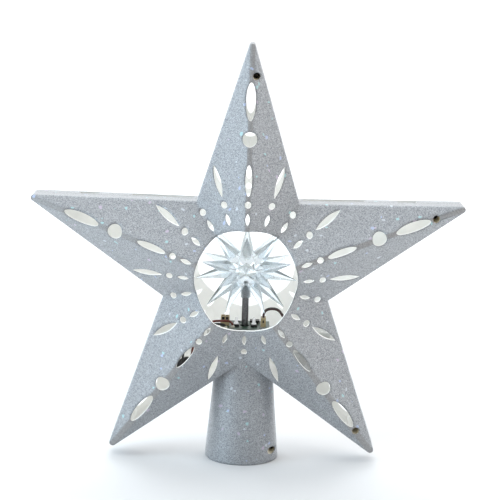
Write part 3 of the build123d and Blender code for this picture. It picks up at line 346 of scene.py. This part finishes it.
# Circuit board: pitch of its buried tracks, their width and offset as shares of it, and relief
TRACK_PITCH = 7.0
TRACK_WIDTH = 0.05
TRACK_OFFSET = 0.35
TRACK_RELIEF = 0.03
TRACK_TONE = (0.03, 0.08, 0.045, 1)
MASK_DARK = (0.012, 0.03, 0.02, 1)
MASK_LIGHT = (0.016, 0.04, 0.026, 1)


def board_material():
    """Dark solder mask over a grid of buried tracks."""
    material, tree, shader = new_material("solder_mask", (0.02, 0.05, 0.03), 0.35)
    tracks = add_node(
        tree,
        "ShaderNodeTexBrick",
        {"offset": TRACK_OFFSET},
        Scale=1 / (TRACK_PITCH * MM),
        Mortar_Size=TRACK_WIDTH,
        Color1=MASK_DARK,
        Color2=MASK_LIGHT,
        Mortar=TRACK_TONE,
        Vector=place_of(tree),
    )
    fill(tree, shader, Base_Color=tracks.outputs["Color"])
    bump(tree, shader, tracks.outputs["Fac"], TRACK_RELIEF)
    return material


GLITTER = glitter_material("silver_glitter", FLAKE_TONES)
# Glitter on the ridges, painted darker for a reflection
RIDGE_REFLECTION_GLITTER = glitter_material("ridge_painted_reflection", RIDGE_REFLECTION_TONES)
CREAM = moulded_material("cream_plastic", (0.78, 0.785, 0.765), (0.86, 0.865, 0.845), 0.5)
# The cream inside and the cut edges glow: painted light
paint_inner_glow(CREAM, CREAM_GLOW)
CUT_EDGE = moulded_material("cut_edge", (0.84, 0.845, 0.83), (0.9, 0.905, 0.89), 0.45)
paint_inner_glow(CUT_EDGE, EDGE_GLOW)
# The screw recesses: the shell's cream plastic painted darker and warmer as shade, with no glow
SHADED_RECESS = moulded_material("recess_painted_shade", (0.66, 0.61, 0.5), (0.82, 0.77, 0.64), 0.6)
# The walls of the rim slots: the cream plastic painted darker as shade, with no glow
SHADED_SLOT_WALL = moulded_material("slot_wall_painted_shade", (0.68, 0.68, 0.66), (0.78, 0.78, 0.76), 0.5)
CLEAR = clear_material("clear_plastic", (0.9, 0.96, 1.0), 0.13, 0.84)
# Lamp lenses with a painted glow, though the lamps are off
LAMP = clear_material("lamp_lens", (0.95, 0.97, 0.99), 0.25, 0.3, UNLIT_LENS_GLOW)
DARK_STEEL = metal_material("dark_steel", (0.1, 0.1, 0.105), (0.19, 0.19, 0.2), 0.35)
SCREW_STEEL = metal_material("blackened_steel", (0.03, 0.028, 0.025), (0.07, 0.06, 0.05), 0.45)
CAN_STEEL = metal_material("motor_can_steel", (0.42, 0.42, 0.43), (0.56, 0.56, 0.57), 0.3)
TIN = metal_material("tinned_contacts", (0.5, 0.47, 0.38), (0.7, 0.68, 0.6), 0.3)
BRASS = metal_material("bush_brass", (0.42, 0.28, 0.1), (0.6, 0.44, 0.2), 0.3)
BEIGE = moulded_material("beige_connector", (0.42, 0.32, 0.17), (0.6, 0.49, 0.3), 0.5)
BLACK = moulded_material("black_plastic", (0.008, 0.008, 0.008), (0.022, 0.022, 0.024), 0.4)
GEAR_WHITE = moulded_material("gear_plastic", (0.68, 0.66, 0.6), (0.8, 0.78, 0.72), 0.42)
CASE_WHITE = moulded_material("gearbox_plastic", (0.6, 0.6, 0.58), (0.72, 0.72, 0.7), 0.5)
MASK = board_material()
BROWN_WIRE = moulded_material("brown_black_wire", (0.02, 0.008, 0.007), (0.075, 0.026, 0.022), 0.4)
BLACK_WIRE = moulded_material("black_wire", (0.006, 0.006, 0.006), (0.02, 0.019, 0.019), 0.4)
RED_WIRE = moulded_material("red_brown_wire", (0.06, 0.01, 0.006), (0.14, 0.024, 0.015), 0.4)

NODE_MATERIALS = {
    DARK_STEEL: ("drive_shaft", "gear_pins", "motor_shaft"),
    SCREW_STEEL: ("gearbox_screws", "motor_screws", "mounting_screws"),
    CAN_STEEL: ("motor_can", "board_screws"),
    TIN: ("motor_terminals", "inlet_pin", "inlet_tags", "led_leads", "header_pins", "chip_legs"),
    BRASS: ("shaft_bush",),
    BLACK: ("motor_cap", "power_inlet", "controller_chip", "resistors"),
    CASE_WHITE: ("gearbox_tray", "gearbox_cover"),
    GEAR_WHITE: ("output_gear", "second_gear", "first_gear", "motor_pinion"),
    MASK: ("circuit_board",),
}


def set_materials(made, *materials):
    """An object's materials in that order, and no others."""
    made.data.materials.clear()
    for material in materials:
        made.data.materials.append(material)


for material, names in NODE_MATERIALS.items():
    for name in names:
        set_materials(nodes[name], material)

# Meshes: points nearer than this in millimetres become one
WELD = 0.001


def add_object(name, data):
    """An object in the scene."""
    made = bpy.data.objects.new(name, data)
    bpy.context.scene.collection.objects.link(made)
    return made


def mesh_object(name, bm):
    """An object made from a finished bmesh."""
    mesh = bpy.data.meshes.new(name)
    bm.to_mesh(mesh)
    bm.free()
    return add_object(name, mesh)


def welded(mesh):
    """A bmesh of a mesh, its faces joined along their edges."""
    bm = bmesh.new()
    bm.from_mesh(mesh)
    bmesh.ops.remove_doubles(bm, verts=bm.verts, dist=WELD * MM)
    return bm


def welded_copy(name, node_name):
    """A new object with the shape of a node."""
    return mesh_object(name, welded(nodes[node_name].data))


def cut_or_join(made, tool, operation):
    """The tool's shape taken from an object or joined to it, for good."""
    modifier = made.modifiers.new(operation.lower(), "BOOLEAN")
    modifier.operation = operation
    modifier.solver = "EXACT"
    modifier.material_mode = "TRANSFER"
    modifier.object = tool
    bpy.context.view_layer.update()
    depsgraph = bpy.context.evaluated_depsgraph_get()
    result = bpy.data.meshes.new_from_object(made.evaluated_get(depsgraph))
    bm = welded(result)
    bmesh.ops.dissolve_degenerate(bm, edges=bm.edges, dist=WELD * MM)
    bm.to_mesh(result)
    bm.free()
    made.modifiers.clear()
    made.data = result
    bpy.data.objects.remove(tool)


def smooth_by_angle(made, degrees):
    """Smooth shading, with edges sharper than that left sharp."""
    made.data.polygons.foreach_set("use_smooth", [True] * len(made.data.polygons))
    made.data.set_sharp_from_angle(angle=radians(degrees))


def full_turn(sides):
    """The angles of a polygon's corners."""
    return [2 * pi * side / sides for side in range(sides)]


def add_solid(bm, outlines):
    """A closed solid through outlines of as many points, one above the other."""
    rings = [[bm.verts.new(point) for point in outline] for outline in outlines]
    for low, high in zip(rings, rings[1:]):
        for step in range(len(low)):
            following = (step + 1) % len(low)
            bm.faces.new((low[step], low[following], high[following], high[step]))
    bm.faces.new(reversed(rings[0]))
    bm.faces.new(rings[-1])


TURNED_SIDES = 24


def turned(name, profile, places, material):
    """Pieces turned about +Z from a profile of (radius, height) in millimetres."""
    turns = full_turn(TURNED_SIDES)
    bm = bmesh.new()
    for place in places:
        outlines = []
        for radius, height in profile:
            ring = [Vector((radius * cos(turn), radius * sin(turn), height)) for turn in turns]
            outlines.append([place + point * MM for point in ring])
        add_solid(bm, outlines)
    made = mesh_object(name, bm)
    set_materials(made, material)
    smooth_by_angle(made, TURNED_SHARP)
    return made


# Star shells
def hole_outline(length, width, ends):
    """A perforation about its own centre, its long side along the ray."""
    half_length = length / 2 + HOLE_TRIM
    half_width = width / 2 + HOLE_TRIM
    if ends == "round":
        turns = full_turn(HOLE_SIDES)
        return [(half_length * cos(turn), half_width * sin(turn)) for turn in turns]
    steps = HOLE_SIDES // 2
    bow = [2 * step / steps - 1 for step in range(steps)]
    upper = [(share * half_length, (1 - share**2) * half_width) for share in bow]
    return [(-x, -y) for x, y in reversed(upper)] + [(x, y) for x, y in reversed(upper)]


def hole_places():
    """Every perforation of a shell, with the angle of the ray that it lies on."""
    rays = POINTS * RAYS_PER_POINT
    beside_bottom = (1, rays - 1)
    for ray in range(rays):
        angle = BOTTOM_ANGLE + ray * RAY_ANGLE
        yield SMALL_SLOT, angle
        if ray not in beside_bottom:
            yield SMALL_HOLE, angle
    for arm in range(POINTS):
        ridge = TOP_ANGLE + arm * ARM_ANGLE
        for hole in (RIDGE_SLOT, LARGE_HOLE, LARGE_SLOT):
            yield hole, ridge
        for side in (-RAY_ANGLE, RAY_ANGLE):
            yield FLANK_SLOT, ridge + side


def hole_cutter():
    """All perforations as prisms through the star."""
    bm = bmesh.new()
    for (share, length, width, ends), angle in hole_places():
        turn = Matrix.Rotation(-radians(angle), 4, "Y")
        outline = hole_outline(length, width, ends)
        outlines = []
        for depth in (-CUT_REACH, CUT_REACH):
            points = [Vector((share * TIP_RADIUS + x, depth, z)) for x, z in outline]
            outlines.append([STAR_CENTRE + turn @ point * MM for point in points])
        add_solid(bm, outlines)
    bmesh.ops.recalc_face_normals(bm, faces=bm.faces)
    return mesh_object("hole_cutter", bm)


def solid_centres(node_name):
    """The middle of each separate solid of a node."""
    bm = welded(nodes[node_name].data)
    seen = set()
    centres = []
    for first in bm.verts:
        if first in seen:
            continue
        seen.add(first)
        reached = [first]
        for vertex in reached:
            for edge in vertex.link_edges:
                other = edge.other_vert(vertex)
                if other not in seen:
                    seen.add(other)
                    reached.append(other)
        places = [vertex.co.copy() for vertex in reached]
        centres.append(sum(places, Vector()) / len(places))
    bm.free()
    return centres


SCREW_PLACES = [(centre - STAR_CENTRE).xz / MM for centre in solid_centres("shell_screws")]


def on_neck(spot):
    """Whether a point, in millimetres from the star's middle, belongs to the neck."""
    return spot.z < -EDGE_DISTANCE and spot.xy.length < NECK_REACH


def shell_surface(place, normal, side):
    """Which surface of a shell a face belongs to, such as its outside or a cut edge."""
    spot = (place - STAR_CENTRE) / MM
    x, y, z = spot
    by_slot_side = min(abs(y - slot_side) for slot_side in RIM_SLOT_SIDES) < RIM_TOLERANCE
    in_upper_rim = abs(z - EDGE_DISTANCE) < SHELL_WALL
    if by_slot_side and in_upper_rim and abs(normal.y) > SLOT_WALL_LEAST:
        return "slot"
    if side < 0 and any((spot.xz - screw).length < RECESS_REACH for screw in SCREW_PLACES):
        if abs(normal.y) < RECESS_WALL_MOST or abs(y) < RECESS_DEPTH:
            return "recess"
    if on_neck(spot):
        radial = spot.xy.normalized().dot(normal.xy)
        return "outside" if radial > NECK_LEAST else "inside"
    if abs(normal.y) > FACET_LEAST:
        if normal.y * side > 0 and abs(y) > RECESS_DEPTH:
            # Faces that look straight ahead along a ridge take the glitter painted darker for a
            # reflection
            return "ridge" if abs(normal.y) > RIDGE_LEAST else "outside"
        return "inside"
    distance = normal.x * x + normal.z * z
    beyond_holes = spot.xz.length > TIP_REACH and distance > 0
    if beyond_holes or abs(distance - EDGE_DISTANCE) < RIM_TOLERANCE:
        return "outside"
    return "inside" if distance < -EDGE_DISTANCE + 2 * SHELL_WALL else "cut"


SHELL_MATERIALS = {
    "outside": GLITTER,
    "ridge": RIDGE_REFLECTION_GLITTER,
    "inside": CREAM,
    "cut": CUT_EDGE,
    "recess": SHADED_RECESS,
    "slot": SHADED_SLOT_WALL,
}
SHELL_SURFACES = list(SHELL_MATERIALS)


def round_neck(shell):
    """Exact normals on the neck's cone, which long thin faces would shade unevenly."""
    mesh = shell.data
    normals = [Vector()] * len(mesh.loops)
    for face in mesh.polygons:
        outside = SHELL_SURFACES[face.material_index] == "outside"
        upright = abs(face.normal.z) < NECK_SIDE_MOST
        if outside and upright and on_neck((face.center - STAR_CENTRE) / MM):
            for loop in face.loop_indices:
                place = mesh.vertices[mesh.loops[loop].vertex_index].co
                rise = place.xy.length * NECK_SLOPE
                normals[loop] = Vector((place.x, place.y, rise)).normalized()
    mesh.normals_split_custom_set(normals)


for shell_name, side in (("front_shell", -1), ("rear_shell", 1)):
    shell = welded_copy(f"glitter_{shell_name}", shell_name)
    cut_or_join(shell, hole_cutter(), "DIFFERENCE")
    set_materials(shell, *SHELL_MATERIALS.values())
    for face in shell.data.polygons:
        surface = shell_surface(face.center, face.normal, side)
        face.material_index = SHELL_SURFACES.index(surface)
    smooth_by_angle(shell, SHELL_SHARP)
    round_neck(shell)
    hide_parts(shell_name)
    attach(shell, "housing")

# Prism: its two halves made one, so that no joint shows inside the clear plastic
prism = welded_copy("clear_prism", "prism_upper")
cut_or_join(prism, welded_copy("lower_half", "prism_lower"), "UNION")
set_materials(prism, CLEAR)
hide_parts("prism_upper", "prism_lower")
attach(prism, "prism")

# Connectors: notches in their fronts as shares of width and height, and how deep they are
HEADER_NOTCHES = ((0.12, 0.44, 0.62, 0.92), (0.56, 0.88, 0.62, 0.92))
HEADER_NOTCH_DEPTH = 0.5
PLUG_NOTCHES = ((0.36, 0.62, 0.42, 0.74),)
PLUG_NOTCH_DEPTH = 1.0


def connector(name, node_name, notches, notch_depth):
    """A moulded connector with notches, their walls painted black as shade."""
    made = welded_copy(name, node_name)
    set_materials(made, BEIGE)
    low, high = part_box(node_name)
    size = high - low
    depths = (low.y - notch_depth * MM, low.y + notch_depth * MM)
    bm = bmesh.new()
    for left, right, bottom, top in notches:
        sides = [(left, bottom), (right, bottom), (right, top), (left, top)]
        corners = [(low.x + across * size.x, low.z + rise * size.z) for across, rise in sides]
        add_solid(bm, [[(x, depth, z) for x, z in corners] for depth in depths])
    bmesh.ops.recalc_face_normals(bm, faces=bm.faces)
    cutter = mesh_object("notches", bm)
    # The notch walls take the cutter's black: painted shade inside the openings
    set_materials(cutter, BLACK)
    cut_or_join(made, cutter, "DIFFERENCE")
    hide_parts(node_name)
    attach(made, "housing")


connector("board_header", "header_housing", HEADER_NOTCHES, HEADER_NOTCH_DEPTH)
connector("wire_plug", "motor_plug", PLUG_NOTCHES, PLUG_NOTCH_DEPTH)

# Lamps: a rim, a straight barrel and a dome
LED_RIM = 1.25
LED_RIM_HEIGHT = 0.4
LED_RADIUS = 0.82
DOME_STEPS = 6
led_low, led_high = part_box("leds")
dome_base = (led_high.z - led_low.z) / MM - LED_RADIUS
dome_turns = [pi / 2 * step / DOME_STEPS for step in range(DOME_STEPS)]
led_profile = [(LED_RIM, 0), (LED_RIM, LED_RIM_HEIGHT), (LED_RADIUS, LED_RIM_HEIGHT)]
led_profile += [(LED_RADIUS * cos(turn), dome_base + LED_RADIUS * sin(turn)) for turn in dome_turns]
led_sides = (led_low.x + LED_RIM * MM, led_high.x - LED_RIM * MM)
led_places = [Vector((x, 0, led_low.z)) for x in led_sides]
lamps = turned("lamp_lenses", led_profile, led_places, LAMP)
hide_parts("leds")
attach(lamps, "housing")

# Wires: sizes and routes of the solids in millimetres, and lengths in metres
WIRE_RADIUS = 0.6
WIRE_ROUNDNESS = 4
WIRE_STEPS = 12
CONTACT_SPREAD = 2.2
MOTOR_WIRE_SPREAD = 0.75
MOTOR_WIRE_LENGTHS = (0.055, 0.057)
MOTOR_WIRE_MATERIALS = (BROWN_WIRE, BLACK_WIRE)
MOTOR_WIRE_LOOP = [(0, 0, 2.6), (2.6, 0, 4.6), (7.4, 0, 4.4), (10.2, 0, 0.6)]
MOTOR_WIRE_TURNS = (
    [(11.5, 0, -3.7), (13.2, 8.2, -4.4)],
    [(11.5, 0, -2.2), (13.2, 7.8, -2.8)],
)
MOTOR_WIRE_DROPS = (
    [(-3.4, 3.7, 20.0), (-0.5, 3.7, 9.5), (0, 3.2, 0)],
    [(-7.8, 5.3, 21.0), (-1.2, 5.0, 9.5), (0, 3.2, 0)],
)
RED_WIRE_LENGTH = 0.047
RED_WIRE_ROUTE = [(-6.0, -5.2, 0), (-6.0, -5.2, 2.8), (-11.0, -6.2, 3.4), (-18.0, -6.0, 2.8)]
BLACK_WIRE_LENGTH = 0.045
BLACK_WIRE_ROUTE = [(-9.6, -7.2, 0), (-9.6, -7.2, 1.7), (-15.0, -7.6, 2.0), (-20.0, -6.8, 0.4)]
SUPPLY_WIRE_APPROACH = [(1.6, -8.0, 17.0), (0.4, -6.0, 7.5), (0, -3.6, 0)]


def from_point(start, offsets):
    """Points at offsets in millimetres from a start in metres."""
    return [start + Vector(offset) * MM for offset in offsets]


def wire(name, points, material):
    """A wire on one smooth curve with the route's points as its controls."""
    curve = bpy.data.curves.new(name, "CURVE")
    curve.dimensions = "3D"
    curve.bevel_depth = WIRE_RADIUS * MM
    curve.bevel_resolution = WIRE_ROUNDNESS
    curve.use_fill_caps = True
    spline = curve.splines.new("NURBS")
    spline.points.add(len(points) - 1)
    for control, point in zip(spline.points, points):
        control.co = (*point, 1)
    spline.order_u = 3
    spline.use_endpoint_u = True
    spline.resolution_u = WIRE_STEPS
    curve.materials.append(material)
    made = add_object(name, curve)
    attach(made, "housing")
    return made


plug_low, plug_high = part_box("motor_plug")
plug_top = Vector(((plug_low.x + plug_high.x) / 2, 0, plug_high.z))
tag_low, tag_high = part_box("motor_terminals")
motor_tags = Vector(((tag_low.x + tag_high.x) / 2, tag_high.y, (tag_low.z + tag_high.z) / 2))
for index, side in enumerate((-1, 1)):
    start = plug_top + Vector((0, side * MOTOR_WIRE_SPREAD * MM, 0))
    end = motor_tags + Vector((side * CONTACT_SPREAD * MM, 0, 0))
    route = [start, *from_point(start, MOTOR_WIRE_LOOP + MOTOR_WIRE_TURNS[index])]
    route += [*from_point(end, MOTOR_WIRE_DROPS[index]), end]
    length, material = MOTOR_WIRE_LENGTHS[index], MOTOR_WIRE_MATERIALS[index]
    wire(f"motor_wire_{index + 1}", route, material)
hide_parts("motor_wires")

board_top = Vector((0, 0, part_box("circuit_board")[1].z))
inlet_low, inlet_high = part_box("inlet_tags")
inlet_middle = ((inlet_low.x + inlet_high.x) / 2, (inlet_low.z + inlet_high.z) / 2)
inlet_tags = Vector((inlet_middle[0], inlet_low.y, inlet_middle[1]))
for name, route, side, length, material in (
    ("red", RED_WIRE_ROUTE, 1, RED_WIRE_LENGTH, RED_WIRE),
    ("black", BLACK_WIRE_ROUTE, -1, BLACK_WIRE_LENGTH, BLACK_WIRE),
):
    end = inlet_tags + Vector((side * CONTACT_SPREAD * MM, 0, 0))
    points = [*from_point(board_top, route), *from_point(end, SUPPLY_WIRE_APPROACH), end]
    supply_wire = wire(f"{name}_supply_wire", points, material)
    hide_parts(f"supply_wire_{name}")

# Solder where the supply wires meet the board
SOLDER_PROFILE = [(1.1, 0), (0.95, 0.35), (0.7, 0.75), (0.62, 1.1)]
solder_places = from_point(board_top, [RED_WIRE_ROUTE[0], BLACK_WIRE_ROUTE[0]])
solder = turned("solder_joints", SOLDER_PROFILE, solder_places, TIN)
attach(solder, "housing")

# Shell screws: round heads with a crossed slot, deep in their recesses
SCREW_HEAD = 1.35
SCREW_HEAD_HEIGHT = 1.2
SCREW_HEAD_TAPER = 0.6
SCREW_RADIUS = 0.75
SCREW_LENGTH = 8.0
SCREW_PROFILE = [
    (SCREW_RADIUS, -SCREW_LENGTH),
    (SCREW_RADIUS, 0),
    (SCREW_HEAD, 0),
    (SCREW_HEAD, SCREW_HEAD_TAPER * SCREW_HEAD_HEIGHT),
    (SCREW_HEAD_TAPER * SCREW_HEAD, SCREW_HEAD_HEIGHT),
]
SLOT_ARMS = 4
SLOT_LENGTH = 1.9
SLOT_WIDTH = 0.45
SLOT_DEPTH = 0.6
UP_TO_FRONT = Matrix.Rotation(pi / 2, 4, "X")


def crossed_slots():
    """A cross-shaped prism that leaves the driver's slots in a screw's head."""
    reach, half = SLOT_LENGTH / 2, SLOT_WIDTH / 2
    arm = [Vector((reach, -half)), Vector((reach, half)), Vector((half, half))]
    cross = [Matrix.Rotation(turn, 2) @ point for turn in full_turn(SLOT_ARMS) for point in arm]
    heights = (SCREW_HEAD_HEIGHT - SLOT_DEPTH, SCREW_HEAD_HEIGHT + SLOT_DEPTH)
    bm = bmesh.new()
    add_solid(bm, [[(*point * MM, height * MM) for point in cross] for height in heights])
    return mesh_object("crossed_slots", bm)


seat_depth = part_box("shell_screws")[0].y + SCREW_HEAD_HEIGHT * MM
for index, place in enumerate(SCREW_PLACES):
    screw = turned(f"shell_screw_{index + 1}", SCREW_PROFILE, [Vector()], SCREW_STEEL)
    cut_or_join(screw, crossed_slots(), "DIFFERENCE")
    smooth_by_angle(screw, TURNED_SHARP)
    seat = Vector((place.x * MM, seat_depth, STAR_CENTRE.z + place.y * MM))
    screw.data.transform(Matrix.Translation(seat) @ UP_TO_FRONT)
    if index == 0:
        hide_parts("shell_screws")
    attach(screw, "housing")

# Studio: a pale floor, whose glow grows with distance from the star, in metres
FLOOR_HALF = 40.0
FLOOR_GLOW = 0.45
FLOOR_GLOW_START = 0.2
FLOOR_GLOW_END = 1.2
floor_bm = bmesh.new()
bmesh.ops.create_grid(floor_bm, x_segments=1, y_segments=1, size=FLOOR_HALF)
floor = mesh_object("floor", floor_bm)
floor_material, floor_tree, floor_shader = new_material("pale_floor", (0.8, 0.8, 0.8), 0.9)
from_star = vector_math(floor_tree, "LENGTH", place_of(floor_tree))["Value"]
floor_glow = graded(floor_tree, from_star, FLOOR_GLOW_START, FLOOR_GLOW_END, 0.0, FLOOR_GLOW)
fill(floor_tree, floor_shader, Emission_Color=WHITE, Emission_Strength=floor_glow)
set_materials(floor, floor_material)

# A sky that gives more light from behind the star than from before it, and looks white all round
SKY_STRENGTH = 1.05
SKY_TONES = (
    (0.04, (0.1, 0.1, 0.1)),
    (0.16, (0.3, 0.3, 0.3)),
    (0.36, (0.72, 0.73, 0.74)),
    (0.6, (1.0, 1.0, 1.0)),
)
world = bpy.data.worlds.new("studio")
bpy.context.scene.world = world
world.use_nodes = True
sky_tree = world.node_tree
sky_place = add_node(sky_tree, "ShaderNodeTexCoord").outputs["Generated"]
sky_depth = add_node(sky_tree, "ShaderNodeSeparateXYZ", Vector=sky_place).outputs["Y"]
sky_light = ramp(sky_tree, graded(sky_tree, sky_depth, -1.0, 1.0, 0.0, 1.0), SKY_TONES)
looked_at = add_node(sky_tree, "ShaderNodeLightPath").outputs["Is Camera Ray"]
sky_colour = mixed(sky_tree, looked_at, sky_light, WHITE)
fill(sky_tree, sky_tree.nodes["Background"], Color=sky_colour, Strength=SKY_STRENGTH)

# Soft square lamps aimed at the star: place and size in metres, power in watts, and colour
LIGHTS = {
    "left_softbox": ((-1.2, -0.5, 0.9), 0.9, 9.6, (0.62, 0.84, 1.0)),
    "low_left_softbox": ((-1.0, -0.7, 0.1), 0.3, 1.8, (0.62, 0.84, 1.0)),
    "rear_top_softbox": ((0.0, 1.0, 1.4), 1.0, 10.0, (0.9, 0.96, 1.0)),
    "front_top_softbox": ((-0.3, -0.8, 1.6), 0.5, 4.2, (1.0, 0.97, 0.94)),
    "right_softbox": ((1.3, -0.5, 1.0), 0.9, 4.0, (1.0, 0.98, 0.96)),
    "left_rim_light": ((-0.75, 0.95, 0.25), 0.6, 5.0, (0.8, 0.91, 1.0)),
    "right_rim_light": ((0.75, 0.95, 0.25), 0.6, 3.5, (0.94, 0.97, 1.0)),
}
for name, (place, size, power, colour) in LIGHTS.items():
    light = bpy.data.lights.new(name, "AREA")
    light.size = size
    light.energy = power
    light.color = colour
    lamp = add_object(name, light)
    lamp.location = place
    lamp.rotation_euler = (STAR_CENTRE - Vector(place)).to_track_quat("-Z", "Y").to_euler()

# Camera, as the photograph was taken
level_share = cos(CAMERA_PITCH)
away = Vector(
    (sin(CAMERA_YAW) * level_share, -cos(CAMERA_YAW) * level_share, sin(CAMERA_PITCH))
)
level_right = (-away).cross(Vector((0, 0, 1))).normalized()
level_up = level_right.cross(-away)
right = level_right * cos(CAMERA_ROLL) + level_up * sin(CAMERA_ROLL)
up = level_up * cos(CAMERA_ROLL) - level_right * sin(CAMERA_ROLL)
camera_data = bpy.data.cameras.new("camera")
camera_data.sensor_width = SENSOR
camera_data.lens = FOCAL_PIXELS * SENSOR / PHOTO_SIDE
camera_data.shift_x = SHIFT_PIXELS[0] / PHOTO_SIDE
camera_data.shift_y = SHIFT_PIXELS[1] / PHOTO_SIDE
camera_data.clip_start = CLIP_START
camera_data.clip_end = CLIP_END
camera = add_object("camera", camera_data)
rim_front = STAR_CENTRE + Vector((0, -RIM_DEPTH, 0)) * MM
camera_place = Matrix.Translation(rim_front + away * CAMERA_DISTANCE * MM)
camera.matrix_world = camera_place @ Matrix((right, up, away)).transposed().to_4x4()
bpy.context.scene.camera = camera
bpy.context.scene.view_settings.view_transform = "Standard"
